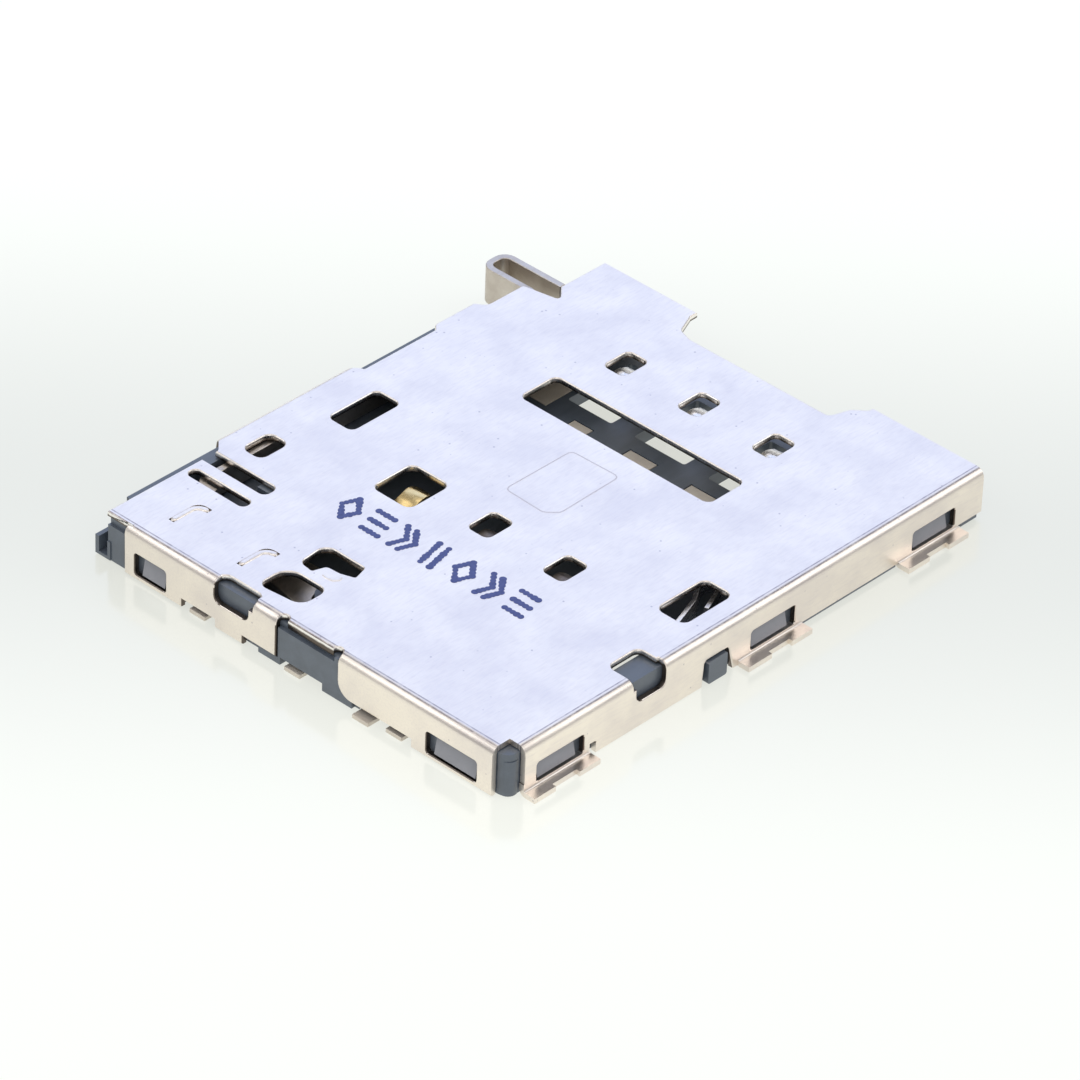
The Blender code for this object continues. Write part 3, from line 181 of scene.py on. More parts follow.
# %% Rolled, nickel plated stainless sheet
def rolled_sheet():
    material, tree, shader, place = new_material("nickel_plated_stainless_rolled")
    stretched = add(tree, "ShaderNodeMapping", {"Vector": place, "Scale": (1.0, 0.16, 1.0)}).outputs[0]
    streaks = add(tree, "ShaderNodeTexNoise",
                  {"Vector": stretched, "Scale": per_metre(0.06), "Detail": 3.0, "Roughness": 0.6}).outputs[0]
    clouds = add(tree, "ShaderNodeTexNoise",
                 {"Vector": place, "Scale": per_metre(1.6), "Detail": 4.0, "Roughness": 0.55}).outputs[0]
    specks = speck_mask(tree, place)

    mottle = add(tree, "ShaderNodeMapRange",
                 {"Value": clouds, "From Min": 0.35, "From Max": 0.65}).outputs[0]
    tint = add(tree, "ShaderNodeMix", {"Factor": mottle, 6: colour("E9E0D8"), 7: colour("F8EFE3")},
               data_type="RGBA").outputs[2]
    scuffs = add(tree, "ShaderNodeMapRange",
                 {"Value": streaks, "From Min": 0.45, "From Max": 0.80,
                  "To Min": 0.0, "To Max": 0.24}).outputs[0]
    tint = add(tree, "ShaderNodeMix", {"Factor": scuffs, 6: tint, 7: colour("CDC6CC")},
               data_type="RGBA").outputs[2]
    tint = add(tree, "ShaderNodeMix", {"Factor": specks, 6: tint, 7: colour("A39CA6")},
               data_type="RGBA").outputs[2]
    # Two thin dark broken lines along each fold.
    tint = add(tree, "ShaderNodeMix", {"Factor": fold_line_mask(tree, place), 6: tint, 7: colour("8A8086")},
               data_type="RGBA").outputs[2]
    tree.links.new(tint, shader.inputs["Base Color"])

    shader.inputs["Metallic"].default_value = 1.0
    sheen = add(tree, "ShaderNodeMix", {"Factor": clouds, 2: 0.30, 3: 0.42}).outputs[0]
    fine = add(tree, "ShaderNodeMapRange", {"Value": streaks, "To Min": -0.07, "To Max": 0.07}).outputs[0]
    rough = add(tree, "ShaderNodeMath", {0: sheen, 1: fine}, operation="ADD").outputs[0]
    tree.links.new(rough, shader.inputs["Roughness"])
    height = add(tree, "ShaderNodeMath", {0: streaks, 1: specks}, operation="SUBTRACT").outputs[0]
    bump = add(tree, "ShaderNodeBump", {"Height": height, "Strength": 0.10, "Distance": 0.01 * MM}).outputs[0]
    tree.links.new(bump, shader.inputs["Normal"])
    return material


sheet_metal = rolled_sheet()
print("made", sheet_metal.name)

# %% [markdown]
# ## Sheared edges
#
# Where a punch cuts the sheet, the upper part of the edge is burnished bright and the lower part tears
# and turns dull. The edge is its own material, and the height in the sheet mixes bright into a dark
# brown below, which is partly that dull torn zone and partly painted shade of the narrow gap under the
# plate's edge. It goes on the faces that the punch made, which a later cell picks out by their direction.

# %% Sheared edge of the sheet
# Below this height the edge turns dark brown: partly the dull torn zone, partly painted shade.
SHADED_BELOW, BRIGHT_ABOVE = solid_high.z - 0.12 * MM, solid_high.z - 0.08 * MM


def sheared_edge():
    material, tree, shader, place = new_material("stainless_sheared_edge")
    level = add(tree, "ShaderNodeSeparateXYZ", {0: place}).outputs["Z"]
    wander = add(tree, "ShaderNodeTexNoise",
                 {"Vector": place, "Scale": per_metre(0.18), "Detail": 2.0}).outputs[0]
    wander = add(tree, "ShaderNodeMapRange",
                 {"Value": wander, "To Min": -0.03 * MM, "To Max": 0.03 * MM}).outputs[0]
    level = add(tree, "ShaderNodeMath", {0: level, 1: wander}, operation="ADD").outputs[0]
    bright = add(tree, "ShaderNodeMapRange",
                 {"Value": level, "From Min": SHADED_BELOW, "From Max": BRIGHT_ABOVE}).outputs[0]
    # Dark brown low on the edge: partly the dull torn zone, partly painted shade of the gap under the plate.
    tint = add(tree, "ShaderNodeMix", {"Factor": bright, 6: colour("6B625B"), 7: colour("FDF9F4")},
               data_type="RGBA").outputs[2]
    tree.links.new(tint, shader.inputs["Base Color"])
    shader.inputs["Metallic"].default_value = 1.0
    across = add(tree, "ShaderNodeMapping", {"Vector": place, "Scale": (1.0, 1.0, 0.1)}).outputs[0]
    drag = add(tree, "ShaderNodeTexNoise",
               {"Vector": across, "Scale": per_metre(0.03), "Detail": 2.0}).outputs[0]
    rough = add(tree, "ShaderNodeMapRange", {"Value": drag, "To Min": 0.18, "To Max": 0.42}).outputs[0]
    tree.links.new(rough, shader.inputs["Roughness"])
    bump = add(tree, "ShaderNodeBump", {"Height": drag, "Strength": 0.15, "Distance": 0.01 * MM}).outputs[0]
    tree.links.new(bump, shader.inputs["Normal"])
    return material


edge_metal = sheared_edge()
print("made", edge_metal.name)

# %% [markdown]
# ## The moulding's plastic
#
# The housing is liquid crystal polymer, injection moulded. It stands the heat of soldering, fills very
# thin walls, and comes out dark blue grey with a satin skin. The melt's flow leaves faint lighter
# streaks along the part, and the steel mould a fine, even texture.
#
# The ramps behind the cover's side windows tilt up, and their plastic is drawn lighter as painted light
# for the light that falls on them. They get the same recipe with lighter tints and a slightly different
# roughness.

# %% Moulded liquid crystal polymer
def moulded_polymer(name, dark, light, rough_low, rough_high):
    material, tree, shader, place = new_material(name)
    along = add(tree, "ShaderNodeMapping", {"Vector": place, "Scale": (1.0, 0.3, 1.0)}).outputs[0]
    flow = add(tree, "ShaderNodeTexNoise",
               {"Vector": along, "Scale": per_metre(0.35), "Detail": 4.0, "Distortion": 0.4}).outputs[0]
    tint = add(tree, "ShaderNodeMix", {"Factor": flow, 6: colour(dark), 7: colour(light)},
               data_type="RGBA").outputs[2]
    tree.links.new(tint, shader.inputs["Base Color"])
    skin = add(tree, "ShaderNodeTexNoise",
               {"Vector": place, "Scale": per_metre(0.04), "Detail": 2.0}).outputs[0]
    rough = add(tree, "ShaderNodeMapRange",
                {"Value": flow, "To Min": rough_low, "To Max": rough_high}).outputs[0]
    tree.links.new(rough, shader.inputs["Roughness"])
    bump = add(tree, "ShaderNodeBump", {"Height": skin, "Strength": 0.12, "Distance": 0.01 * MM}).outputs[0]
    tree.links.new(bump, shader.inputs["Normal"])
    shader.inputs["IOR"].default_value = 1.62
    return material


polymer = moulded_polymer("liquid_crystal_polymer_moulded", "48505B", "67717E", 0.26, 0.40)
# A lighter copy of the plastic: painted light on the upward-tilted ramps.
painted_lit_polymer = moulded_polymer("liquid_crystal_polymer_rubbed", "84868F", "9C9DA6", 0.30, 0.42)
print("made", polymer.name, "and", painted_lit_polymer.name)

# %% [markdown]
# ## Springs, rod and lever
#
# The springs are phosphor bronze under a thin plating, which is smooth and needs only a light grain
# along the strip. Gold is dear, so it is used sparingly: it shows in the large opening of the cover,
# while the other springs and those of the switch look like nickel. Two of them, c5 and c6, where little
# light reaches, get a darker copy of that nickel as painted shade. The solder tails and the plates in the
# floor get matte tin. The rod and the lever are stamped spring steel, duller than the cover, ground along the
# strip.
#
# One function makes any plain stamped metal from two tints, a roughness range and the direction of its
# grain, and all these metals come from it.

# %% Plated bronze, matte tin and stamped steel
def stamped_metal(name, dark, light, rough_low, rough_high, stretch):
    material, tree, shader, place = new_material(name)
    along = add(tree, "ShaderNodeMapping", {"Vector": place, "Scale": stretch}).outputs[0]
    grain = add(tree, "ShaderNodeTexNoise",
                {"Vector": along, "Scale": per_metre(0.05), "Detail": 3.0, "Roughness": 0.6}).outputs[0]
    stain = add(tree, "ShaderNodeTexNoise",
                {"Vector": place, "Scale": per_metre(0.5), "Detail": 3.0}).outputs[0]
    tint = add(tree, "ShaderNodeMix", {"Factor": stain, 6: colour(dark), 7: colour(light)},
               data_type="RGBA").outputs[2]
    tree.links.new(tint, shader.inputs["Base Color"])
    shader.inputs["Metallic"].default_value = 1.0
    rough = add(tree, "ShaderNodeMapRange",
                {"Value": grain, "From Min": 0.3, "From Max": 0.7,
                 "To Min": rough_low, "To Max": rough_high}).outputs[0]
    tree.links.new(rough, shader.inputs["Roughness"])
    bump = add(tree, "ShaderNodeBump", {"Height": grain, "Strength": 0.08, "Distance": 0.01 * MM}).outputs[0]
    tree.links.new(bump, shader.inputs["Normal"])
    return material


gold = stamped_metal("gold_plated_bronze_stamped", "D3B06C", "F3DEAA", 0.16, 0.30, (1.0, 0.15, 1.0))
nickel = stamped_metal("nickel_plated_bronze_stamped", "E2DEDC", "FAF8F6", 0.22, 0.36, (1.0, 0.15, 1.0))
# A darker copy of the nickel: painted shade for springs that little light reaches.
shaded_nickel = stamped_metal("nickel_plated_bronze_dulled", "6F6763", "8D8580", 0.36, 0.50, (1.0, 0.15, 1.0))
steel = stamped_metal("spring_steel_stamped", "B5ABA1", "DDD6CD", 0.34, 0.50, (1.0, 0.12, 1.0))
tin = stamped_metal("matte_tin_plated", "DED7CD", "F6F0E7", 0.72, 0.86, (1.0, 0.4, 1.0))
print("made", ", ".join(metal.name for metal in (gold, nickel, shaded_nickel, steel, tin)))

# %% [markdown]
# ## Rounded edges for the solids
#
# The solids have perfectly sharp edges, which no real part has. A punch pulls the sheet's edge down with
# it, and that rolled-over round of a few hundredths of a millimetre catches the light along every hole.
# Each solid is copied first, and its loose triangles are merged into clean faces. Modifiers then do the
# fine rounding, and a helper turns the result into a plain mesh.
#
# A round blends its shading into its neighbours, and on a mirror-like plate the least lean of the normals
# shows as a crease. So a last helper tells large flat faces to keep their direction up to the round.

# %% Merge, settle and hold flat
DOUBLE_DISTANCE = 0.0008 * MM
FLAT_ANGLE = math.radians(0.4)
FLAT_AREA = 0.002 * MM * MM


def merged_copy(node):
    """The solid's mesh with doubles merged and flat neighbours joined, as a new bmesh."""
    bm = bmesh.new()
    bm.from_mesh(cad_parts[node].data)
    bmesh.ops.remove_doubles(bm, verts=bm.verts, dist=DOUBLE_DISTANCE)
    bmesh.ops.dissolve_limit(bm, angle_limit=FLAT_ANGLE, verts=bm.verts, edges=bm.edges)
    return bm


def settle(piece):
    """Turn the piece with its modifiers into a plain mesh."""
    graph = bpy.context.evaluated_depsgraph_get()
    plain = bpy.data.meshes.new_from_object(piece.evaluated_get(graph))
    piece.modifiers.clear()
    piece.data = plain


def hold_flat(mesh):
    """Shade the larger faces that lie square to an axis as dead flat, up to their rounds."""
    normals = [corner.vector.copy() for corner in mesh.corner_normals]
    for face in mesh.polygons:
        if face.area > FLAT_AREA and max(abs(part) for part in face.normal) > 0.99999:
            for loop in face.loop_indices:
                normals[loop] = face.normal.copy()
    mesh.normals_split_custom_set(normals)


for node in ("cover_shell", "housing"):
    sample = merged_copy(node)
    print(node, "has", len(sample.faces), "clean faces")
    sample.free()

# %% [markdown]
# With these helpers, one function dresses any solid. The rims that a punch rolled over get a wide round,
# where a piece has them, and then a small bevel goes on every edge sharper than 40 degrees. The copy
# stands for the solid from then on, and the solid stays in the model for contact.

# %% Round a copy of a solid
ROLLED_RIM = 0.045 * MM
SHARP_EDGE = math.radians(40)


def rounded_piece(node, name, width, body, materials, pick=None, rim=None):
    """Replace a solid with a rounded copy; pick gives a face's material number, rim finds rolled edges."""
    bm = merged_copy(node)
    if pick:
        for face in bm.faces:
            face.material_index = pick(face)
    if rim:
        bmesh.ops.bevel(bm, geom=[edge for edge in bm.edges if rim(edge)], offset=ROLLED_RIM, segments=3,
                        profile=0.5, affect="EDGES", clamp_overlap=False, material=-1)
    mesh = bpy.data.meshes.new(name)
    bm.to_mesh(mesh)
    bm.free()
    for material in materials:
        mesh.materials.append(material)
    piece = bpy.data.objects.new(name, mesh)
    bpy.context.scene.collection.objects.link(piece)
    bevel = piece.modifiers.new("rolled_edge", "BEVEL")
    bevel.width = width
    bevel.segments = 3
    bevel.limit_method = "ANGLE"
    bevel.angle_limit = SHARP_EDGE
    bevel.use_clamp_overlap = True
    flat = piece.modifiers.new("flat_faces", "WEIGHTED_NORMAL")
    flat.mode = "FACE_AREA"
    flat.weight = 100
    mesh.shade_smooth()
    settle(piece)
    hold_flat(piece.data)
    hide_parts(node)
    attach(piece, body)
    return piece


print("rolled rim, mm:", ROLLED_RIM / MM)

# %% [markdown]
# ## The cover
#
# The faces that the punch made stand upright in the top plate, and run along the wall's thickness in
# the walls. Both are found by direction and place, and get the sheared metal. The punch came from
# outside, so the rolled rims are the edges that such a face shares with the sheet's outer side. The
# places below are the sheet's thickness, the outer sides of its walls, and HAIR as a tolerance.

# %% Faces and rims that the punch made
SHEET = 0.15 * MM
HAIR = 0.01 * MM
SIDE_WALL, FRONT_WALL = 7.17 * MM, -8.62 * MM
FOLD_FOOT = solid_high.z - 0.35 * MM
FEET_TOP = 0.25 * MM


def cut_face(face):
    """1 on a face that a punch made, 0 on the sheet's own faces."""
    centre, normal = face.calc_center_median(), face.normal
    if centre.z > solid_high.z - SHEET - HAIR:
        return int(abs(normal.z) < 0.05)
    in_side_wall = SIDE_WALL - SHEET - 2 * HAIR < abs(centre.x) < SIDE_WALL + HAIR
    if in_side_wall and centre.z > FEET_TOP:
        return int(abs(normal.x) < 0.1)
    if centre.y < FRONT_WALL + SHEET + 2 * HAIR:
        return int(abs(normal.y) < 0.1)
    return 0


def outer_face(face):
    """Whether a face is on the outside of the folded sheet."""
    centre, normal = face.calc_center_median(), face.normal
    on_side = centre.x > SIDE_WALL - SHEET / 2 and normal.x > 0.9
    on_front = centre.y < FRONT_WALL + SHEET / 2 and normal.y < -0.9
    on_top = centre.z > FOLD_FOOT and normal.z > 0.1
    return face.material_index == 0 and (on_side or on_front or on_top)


def rolled_rim(edge):
    """Whether an edge is the outer rim of a punched face that is as tall as the sheet is thick."""
    if len(edge.link_faces) != 2:
        return False
    punched = [face for face in edge.link_faces if face.material_index == 1]
    outside = [face for face in edge.link_faces if outer_face(face)]
    if not punched or not outside:
        return False
    heights = [corner.co.z for corner in punched[0].verts]
    return outside[0].normal.z < 0.9 or max(heights) - min(heights) > 0.8 * SHEET


cover = rounded_piece("cover_shell", "folded_cover", width=0.022 * MM, body="socket_body",
                      materials=(sheet_metal, edge_metal),
                      pick=cut_face, rim=rolled_rim)
print("cover faces:", len(cover.data.polygons))

# %% [markdown]
# ## The housing and the small parts
#
# The housing gets an even round on all its moulded edges. The ramps behind the cover's windows are found
# by their slope and get the lighter plastic, painted light, and the flat solder tails of the springs, low
# down, get tin.

# %% Dress the housing, springs, plates, rod and lever
WINDOW_TOP = 0.9 * MM
TAIL_TOP = 0.2 * MM


def ramp_face(face):
    """1 on the ramps that the cover's windows snap over, 0 elsewhere."""
    centre, normal = face.calc_center_median(), face.normal
    beside_wall = centre.x > SIDE_WALL - SHEET - 2 * HAIR or centre.y < FRONT_WALL + SHEET + 4 * HAIR
    return int(beside_wall and 0.1 < normal.z < 0.6 and centre.z < WINDOW_TOP)


housing = rounded_piece("housing", "moulded_housing", width=0.02 * MM, body="socket_body",
                        materials=(polymer, painted_lit_polymer), pick=ramp_face)
print("housing faces:", len(housing.data.polygons))


def tail_face(face):
    """1 on a solder tail, 0 on the rest of a spring."""
    return int(face.calc_center_median().z < TAIL_TOP)


SPRINGS = {"card_contact_c1": nickel, "card_contact_c2": nickel, "card_contact_c3": nickel,
           "card_contact_c5": shaded_nickel, "card_contact_c6": shaded_nickel, "card_contact_c7": gold,
           "detect_switch_spring": nickel, "detect_switch_contact": nickel}
for node, plating in SPRINGS.items():
    rounded_piece(node, node + "_plated", width=0.014 * MM, body="socket_body",
                  materials=(plating, tin), pick=tail_face)
for node in sorted(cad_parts):
    if node.startswith("floor_insert"):
        rounded_piece(node, node.replace("insert", "plate"), width=0.015 * MM, body="socket_body",
                      materials=(tin,))
rounded_piece("push_rod", "curled_push_rod", width=0.025 * MM, body="rod_body",
              materials=(steel,))
rounded_piece("eject_lever", "flat_eject_lever", width=0.03 * MM, body="lever_body",
              materials=(steel,))
print("small pieces dressed:", len(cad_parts) - 2)

# %% [markdown]
# ## A row of ink dots
#
# An ink-jet head marks such parts with drops of quick-drying ink, so close that they run together into
# strokes with wavy edges. Here the row is a plain ornament of bars, lozenges, chevrons and rungs. Each
# mark is a few straight strokes, and every stroke is a row of drops. Dried ink is matte, and patchy where
# more of the dye settled.

# %% Solvent ink, dried
def ink_material():
    material, tree, shader, place = new_material("solvent_ink_dried")
    patchy = add(tree, "ShaderNodeTexNoise",
                 {"Vector": place, "Scale": per_metre(0.09), "Detail": 3.0}).outputs[0]
    tint = add(tree, "ShaderNodeMix", {"Factor": patchy, 6: colour("34407A"), 7: colour("5765A6")},
               data_type="RGBA").outputs[2]
    tree.links.new(tint, shader.inputs["Base Color"])
    shader.inputs["Roughness"].default_value = 0.55
    bump = add(tree, "ShaderNodeBump", {"Height": patchy, "Strength": 0.2, "Distance": 0.004 * MM}).outputs[0]
    tree.links.new(bump, shader.inputs["Normal"])
    return material


ink = ink_material()
print("made", ink.name)

# %% [markdown]
# Each mark is written down as strokes in millimetres from its lower left corner. The marks stand in a
# row that follows the edge of the cover and lean over a little, as a fast printing head leaves them.

# %% Points of the ink drops
MARKS = {
    "bars": (((0.10, 0.0), (0.10, 0.88)), ((0.42, 0.0), (0.42, 0.88))),
    "lozenge": (((0.28, 0.0), (0.56, 0.44)), ((0.56, 0.44), (0.28, 0.88)), ((0.28, 0.88), (0.0, 0.44)),
                ((0.0, 0.44), (0.28, 0.0))),
    "chevrons": (((0.0, 0.0), (0.26, 0.44)), ((0.26, 0.44), (0.0, 0.88)), ((0.30, 0.0), (0.56, 0.44)),
                 ((0.56, 0.44), (0.30, 0.88))),
    "rungs": (((0.0, 0.04), (0.54, 0.04)), ((0.0, 0.44), (0.54, 0.44)), ((0.0, 0.84), (0.54, 0.84))),
}
MARK_ROW = ("lozenge", "rungs", "chevrons", "bars", "lozenge", "chevrons", "rungs")
MARK_START = (-2.83, -4.50)
MARK_STEP = (0.955, 0.026)
MARK_SLANT = -0.22
DOT_SPACING = 0.132


def stroke_dots(start, end):
    """Points in a row from start to end, about one dot spacing apart."""
    start, end = Vector(start), Vector(end)
    count = max(1, round((end - start).length / DOT_SPACING))
    return [start.lerp(end, step / count) for step in range(count + 1)]


dot_points = []
for number, mark in enumerate(MARK_ROW):
    left = MARK_START[0] + number * MARK_STEP[0]
    foot = MARK_START[1] + number * MARK_STEP[1]
    for start, end in MARKS[mark]:
        dot_points += [((left + dot.x + MARK_SLANT * dot.y) * MM, (foot + dot.y) * MM)
                       for dot in stroke_dots(start, end)]
print("ink dots:", len(dot_points))

# %% [markdown]
# Geometry Nodes turn the points into drops: a flat disc on each point, its size varied by a seeded
# random value, then made real and given the ink. These three helpers serve every tree below.

# %% Helpers for Geometry Nodes trees
def group_with(name, sizes):
    """A geometry tree with a mesh input, named sizes and a mesh output."""
    tree = bpy.data.node_groups.new(name, "GeometryNodeTree")
    tree.interface.new_socket("Geometry", in_out="INPUT", socket_type="NodeSocketGeometry")
    for label, (kind, value) in sizes.items():
        socket = tree.interface.new_socket(label, in_out="INPUT", socket_type=kind)
        socket.default_value = value
    tree.interface.new_socket("Geometry", in_out="OUTPUT", socket_type="NodeSocketGeometry")
    return tree, add(tree, "NodeGroupInput").outputs, add(tree, "NodeGroupOutput").inputs


def set_inputs(modifier, values):
    """Set a modifier's inputs by their labels, through each socket's identifier."""
    for item in modifier.node_group.interface.items_tree:
        if item.in_out == "INPUT" and item.name in values:
            modifier[item.identifier] = values[item.name]


def piece_from_tree(name, verts, edges, tree, values, body, slot):
    """Run a geometry tree on points and edges, and keep the result as a plain piece."""
    mesh = bpy.data.meshes.new(name + "_points")
    mesh.from_pydata(verts, edges, [])
    piece = bpy.data.objects.new(name, mesh)
    bpy.context.scene.collection.objects.link(piece)
    modifier = piece.modifiers.new("tree", "NODES")
    modifier.node_group = tree
    set_inputs(modifier, values)
    settle(piece)
    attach(piece, body)
    return piece


print("helpers:", ", ".join(helper.__name__ for helper in (group_with, set_inputs, piece_from_tree)))

# %% [markdown]
# The ink's own tree takes the radius and height of a drop and the seed as named inputs. A drop has only 14
# sides, because there are more than a hundred of them. The discs stand on the plate, as dried ink does.

# %% Drops of ink on the points
INK_HEIGHT = 0.006 * MM
DROP_SIDES = 14


def drops_tree(material):
    tree, given, result = group_with("ink_drops", {
        "Drop Radius": ("NodeSocketFloat", 0.0001), "Drop Height": ("NodeSocketFloat", 0.000004),
        "Seed": ("NodeSocketInt", 4)})
    drop = add(tree, "GeometryNodeMeshCylinder",
               {"Vertices": DROP_SIDES, "Radius": given["Drop Radius"], "Depth": given["Drop Height"]})
    size = add(tree, "FunctionNodeRandomValue", {2: 0.80, 3: 1.14, "Seed": given["Seed"]}).outputs[1]
    placed = add(tree, "GeometryNodeInstanceOnPoints",
                 {"Points": given["Geometry"], "Instance": drop.outputs["Mesh"], "Scale": size}).outputs[0]
    real = add(tree, "GeometryNodeRealizeInstances", {0: placed}).outputs[0]
    inked = add(tree, "GeometryNodeSetMaterial", {0: real, "Material": material}).outputs[0]
    tree.links.new(inked, result[0])
    return tree


dots = piece_from_tree("ink_dot_row", [(x, y, solid_high.z + INK_HEIGHT / 2) for x, y in dot_points], [],
                       drops_tree(ink), {"Drop Radius": 0.092 * MM, "Drop Height": INK_HEIGHT, "Seed": 4},
                       "socket_body", "stainless_cover")
print("ink row faces:", len(dots.data.polygons))

# %% [markdown]
# ## The card's outline
#
# A thin line etched into the cover by laser shows which way round the card goes: a rectangle with one
# corner cut. The laser roughens the nickel, so the line looks a little duller than the plate.

# %% Laser etched nickel
def etched_material():
    material, tree, shader, place = new_material("nickel_laser_etched")
    burn = add(tree, "ShaderNodeTexNoise",
               {"Vector": place, "Scale": per_metre(0.08), "Detail": 2.0}).outputs[0]
    tint = add(tree, "ShaderNodeMix", {"Factor": burn, 6: colour("CFC8C8"), 7: colour("E4DDDA")},
               data_type="RGBA").outputs[2]
    tree.links.new(tint, shader.inputs["Base Color"])
    shader.inputs["Metallic"].default_value = 1.0
    shader.inputs["Roughness"].default_value = 0.55
    return material


etched_nickel = etched_material()
print("made", etched_nickel.name)

# %% [markdown]
# A second tree draws any raised or printed line: it rounds the corners of a path and sweeps a flat oval
# along it. The input End Scale narrows both ends, and stays at 1 on a closed path.

# %% A line along a path with Geometry Nodes
def line_tree(material):
    tree, given, result = group_with("swept_line", {
        "Line Width": ("NodeSocketFloat", 0.00004), "Line Height": ("NodeSocketFloat", 0.000002),
        "Corner Radius": ("NodeSocketFloat", 0.0001), "End Scale": ("NodeSocketFloat", 1.0)})
    path = add(tree, "GeometryNodeMeshToCurve", {0: given["Geometry"]}).outputs[0]
    path = add(tree, "GeometryNodeFilletCurve",
               {"Curve": path, "Radius": given["Corner Radius"], "Count": 6}, mode="POLY").outputs[0]
    path = add(tree, "GeometryNodeResampleCurve", {"Curve": path, "Count": 72}).outputs[0]
    along = add(tree, "GeometryNodeSplineParameter").outputs["Factor"]
    middle = add(tree, "ShaderNodeMath", {0: along, 1: 0.5}, operation="SUBTRACT").outputs[0]
    middle = add(tree, "ShaderNodeMath", {0: middle}, operation="ABSOLUTE").outputs[0]
    scale = add(tree, "ShaderNodeMapRange",
                {"Value": middle, "From Min": 0.42, "From Max": 0.5, "To Min": 1.0,
                 "To Max": given["End Scale"]}).outputs[0]
    scale = add(tree, "ShaderNodeMath", {0: scale, 1: 0.5}, operation="POWER").outputs[0]
    oval = add(tree, "GeometryNodeCurvePrimitiveCircle", {"Resolution": 12, "Radius": 0.5}).outputs[0]
    size = add(tree, "ShaderNodeCombineXYZ",
               {0: given["Line Width"], 1: given["Line Height"], 2: 1.0}).outputs[0]
    profile = add(tree, "GeometryNodeTransform", {"Geometry": oval, "Scale": size}).outputs[0]
    swept = add(tree, "GeometryNodeCurveToMesh",
                {"Curve": path, "Profile Curve": profile, "Scale": scale, "Fill Caps": True}).outputs[0]
    smooth = add(tree, "GeometryNodeSetShadeSmooth", {"Geometry": swept}).outputs[0]
    real = add(tree, "GeometryNodeRealizeInstances", {0: smooth}).outputs[0]
    done = add(tree, "GeometryNodeSetMaterial", {0: real, "Material": material}).outputs[0]
    tree.links.new(done, result[0])
    return tree


etched_line = line_tree(etched_nickel)
print("made", etched_line.name, "with", len(etched_line.nodes), "nodes")

# %% [markdown]
# The outline is one closed path through five corners, in millimetres. It lies a thousandth of a millimetre
# above the plate, so that the upper side of the thin oval shows all along it.

# %% The card's outline
OUTLINE_LIFT = 0.001 * MM
CARD_CORNERS = ((-0.57, -0.68), (-0.56, 1.71), (1.04, 1.75), (1.09, -0.43), (0.77, -0.73))
outline_points = [(x * MM, y * MM, solid_high.z + OUTLINE_LIFT) for x, y in CARD_CORNERS]
outline_edges = [(step, (step + 1) % len(CARD_CORNERS)) for step in range(len(CARD_CORNERS))]
outline = piece_from_tree("etched_card_outline", outline_points, outline_edges, etched_line,
                          {"Line Width": 0.034 * MM, "Line Height": 0.004 * MM, "Corner Radius": 0.14 * MM},
                          "socket_body", "stainless_cover")
print("outline faces:", len(outline.data.polygons))

# %% [markdown]
# ## Coined ridges
#
# Near the front left corner two short hooked ridges are coined up in the cover, where they hold it off
# the tool that carries it. They are low and half round, so they flash white beside the flat plate. A
# much finer crescent stands over the lever's pivot, where the punch has drawn the plate down a little.
#
# The same tree sweeps taller ovals along these paths, partly sunk in the plate. This time it narrows
# them at both ends, because a coining punch leaves round ends.

# %% Hooked ridges and the crescent over the pivot
RIDGE_SINK = 0.012 * MM
RIDGES = {
    "coined_ridges": {"width": 0.20 * MM, "height": 0.076 * MM, "corner": 0.28 * MM, "paths": (
        ((-5.32, -7.62), (-5.32, -6.70), (-4.96, -6.70)),
        ((-2.83, -7.71), (-2.83, -6.79), (-2.47, -6.79)))},
    "pivot_crescent": {"width": 0.085 * MM, "height": 0.052 * MM, "corner": 0.04 * MM, "paths": (
        ((-0.73, -6.27), (-0.68, -6.42), (-0.78, -6.54), (-0.97, -6.57), (-1.15, -6.53)),)},
}

swept_ridge = line_tree(sheet_metal)
for name, ridge in RIDGES.items():
    ridge_points, ridge_edges = [], []
    for path in ridge["paths"]:
        first = len(ridge_points)
        ridge_points += [(x * MM, y * MM, solid_high.z - RIDGE_SINK) for x, y in path]
        ridge_edges += [(first + step, first + step + 1) for step in range(len(path) - 1)]
    piece = piece_from_tree(name, ridge_points, ridge_edges, swept_ridge,
                            {"Line Width": ridge["width"], "Line Height": ridge["height"],
                             "Corner Radius": ridge["corner"], "End Scale": 0.01},
                            "socket_body", "stainless_cover")
    print(name, "faces:", len(piece.data.polygons))

# %% [markdown]
# ## The table
#
# The part lies on opal acrylic that is lit from below, as product photographers use for small parts.
# Two tubes glow under it, one in front of the part and one behind it, so it is dimmest between them.
# Opal acrylic lets through more light than it throws back, so its own colour is only a middle grey.
# The glow takes away the shadow, shows through the openings in the floor of the housing, and lights the
# walls from their foot. The polish is what shows the faint upside-down picture of the walls.

# %% Opal acrylic table
TUBES_MIDDLE = 1 * MM
TUBES_REACH = 16 * MM
ACROSS_TUBES = (-0.67, 0.74, 0.0)


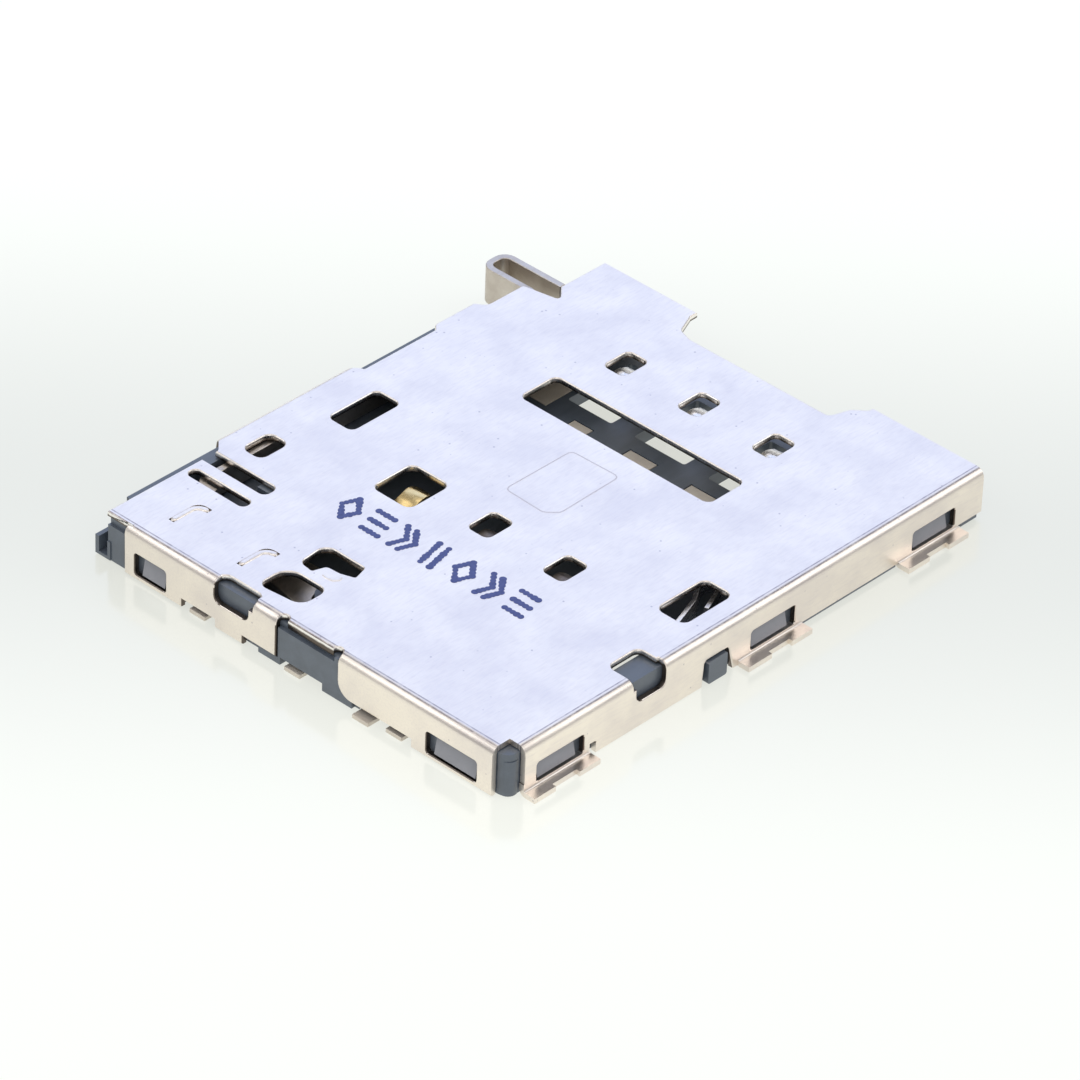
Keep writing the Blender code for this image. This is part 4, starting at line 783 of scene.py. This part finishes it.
def acrylic():
    material, tree, shader, place = new_material("opal_acrylic_polished_lit")
    haze = add(tree, "ShaderNodeTexNoise",
               {"Vector": place, "Scale": per_metre(40.0), "Detail": 2.0}).outputs[0]
    tint = add(tree, "ShaderNodeMix", {"Factor": haze, 6: colour("6C706D"), 7: colour("767A77")},
               data_type="RGBA").outputs[2]
    tree.links.new(tint, shader.inputs["Base Color"])
    rough = add(tree, "ShaderNodeMapRange", {"Value": haze, "To Min": 0.10, "To Max": 0.16}).outputs[0]
    tree.links.new(rough, shader.inputs["Roughness"])
    shader.inputs["IOR"].default_value = 1.49
    shader.inputs["Emission Color"].default_value = colour("FCFDF5")
    far = add(tree, "ShaderNodeVectorMath", {0: place, 1: ACROSS_TUBES},
              operation="DOT_PRODUCT").outputs["Value"]
    away = add(tree, "ShaderNodeMath", {0: far, 1: TUBES_MIDDLE}, operation="SUBTRACT").outputs[0]
    away = add(tree, "ShaderNodeMath", {0: away}, operation="ABSOLUTE").outputs[0]
    glow = add(tree, "ShaderNodeMapRange",
               {"Value": away, "From Max": TUBES_REACH, "To Min": 0.635, "To Max": 0.82},
               interpolation_type="SMOOTHSTEP").outputs[0]
    tree.links.new(glow, shader.inputs["Emission Strength"])
    return material


TABLE_HALF = 600 * MM
table_mesh = bpy.data.meshes.new("table_top")
table_mesh.from_pydata([(-TABLE_HALF, -TABLE_HALF, 0.0), (TABLE_HALF, -TABLE_HALF, 0.0),
                        (TABLE_HALF, TABLE_HALF, 0.0), (-TABLE_HALF, TABLE_HALF, 0.0)], [], [(0, 1, 2, 3)])
table = bpy.data.objects.new("table_top", table_mesh)
bpy.context.scene.collection.objects.link(table)
table_mesh.materials.append(acrylic())
print("table side, m:", 2 * TABLE_HALF)

# %% [markdown]
# ## Light
#
# The cover is metal, so its colour is mostly what it mirrors. Seen from the front, the top plate
# mirrors what stands behind the part. A wide, slightly blue softbox there makes it pale lavender. The
# walls mirror the lit table in front of them, and their warm plating turns it ivory.
#
# Three smaller boxes, on the left, on the right and overhead, stand where the rounded folds and rims
# mirror them, and draw the white lines along these. A wide fill in front lights the plastic, and keeps
# the plate pale when the part is seen from behind. Each box is written down as its place in millimetres,
# its side in metres, its power in watts and its tint.

# %% Softboxes and sky
SOFTBOXES = {
    "blue_backlight": ((-280, 310, 250), 0.42, 0.61, "BAD0FF"),
    "overhead": ((-50, 50, 500), 0.28, 0.30, "FFFDFA"),
    "left_box": ((-250, -210, 310), 0.27, 0.36, "FFFFFF"),
    "right_box": ((215, 270, 290), 0.27, 0.36, "FFFFFF"),
    "front_fill": ((280, -310, 300), 0.42, 0.45, "FFF8F0"),
}
for name, (place, side, power, tint) in SOFTBOXES.items():
    light = bpy.data.lights.new(name, "AREA")
    light.shape = "SQUARE"
    light.size = side
    light.energy = power
    light.color = colour(tint)[:3]
    lamp = bpy.data.objects.new(name, light)
    bpy.context.scene.collection.objects.link(lamp)
    lamp.location = Vector(place) * MM
    lamp.rotation_euler = (-lamp.location).to_track_quat("-Z", "Y").to_euler()

world = bpy.data.worlds.new("white_studio")
world.use_nodes = True
sky = world.node_tree.nodes["Background"].inputs
sky["Color"].default_value = colour("FBFBFF")
sky["Strength"].default_value = 0.42
bpy.context.scene.world = world
bpy.context.scene.view_settings.view_transform = "Standard"
print("softboxes:", ", ".join(SOFTBOXES))

# %% [markdown]
# ## Camera
#
# A long lens from about 175 mm away, 35 degrees above the table and looking at the front right corner. It
# keeps far and near edges almost parallel. The place and the slight roll follow from the part's outline.

# %% Camera
CAMERA_PLACE = Vector((96.676, -106.342, 102.317)) * MM
AZIMUTH, ELEVATION, ROLL = (math.radians(v) for v in (42.26, 35.49, 2.35))

back = Vector((math.sin(AZIMUTH) * math.cos(ELEVATION), -math.cos(AZIMUTH) * math.cos(ELEVATION),
               math.sin(ELEVATION)))
level_right = Vector((math.cos(AZIMUTH), math.sin(AZIMUTH), 0.0))
level_up = back.cross(level_right)
right = level_right * math.cos(ROLL) + level_up * math.sin(ROLL)
up = level_up * math.cos(ROLL) - level_right * math.sin(ROLL)

lens = bpy.data.cameras.new("camera")
lens.lens = 235.1
lens.sensor_width = 36.0
lens.clip_start = 0.005
camera = bpy.data.objects.new("camera", lens)
bpy.context.scene.collection.objects.link(camera)
turn = Matrix((right, up, back)).transposed().to_4x4()
camera.matrix_world = Matrix.Translation(CAMERA_PLACE) @ turn
bpy.context.scene.camera = camera
print("camera distance, mm:", round(CAMERA_PLACE.length / MM, 1))
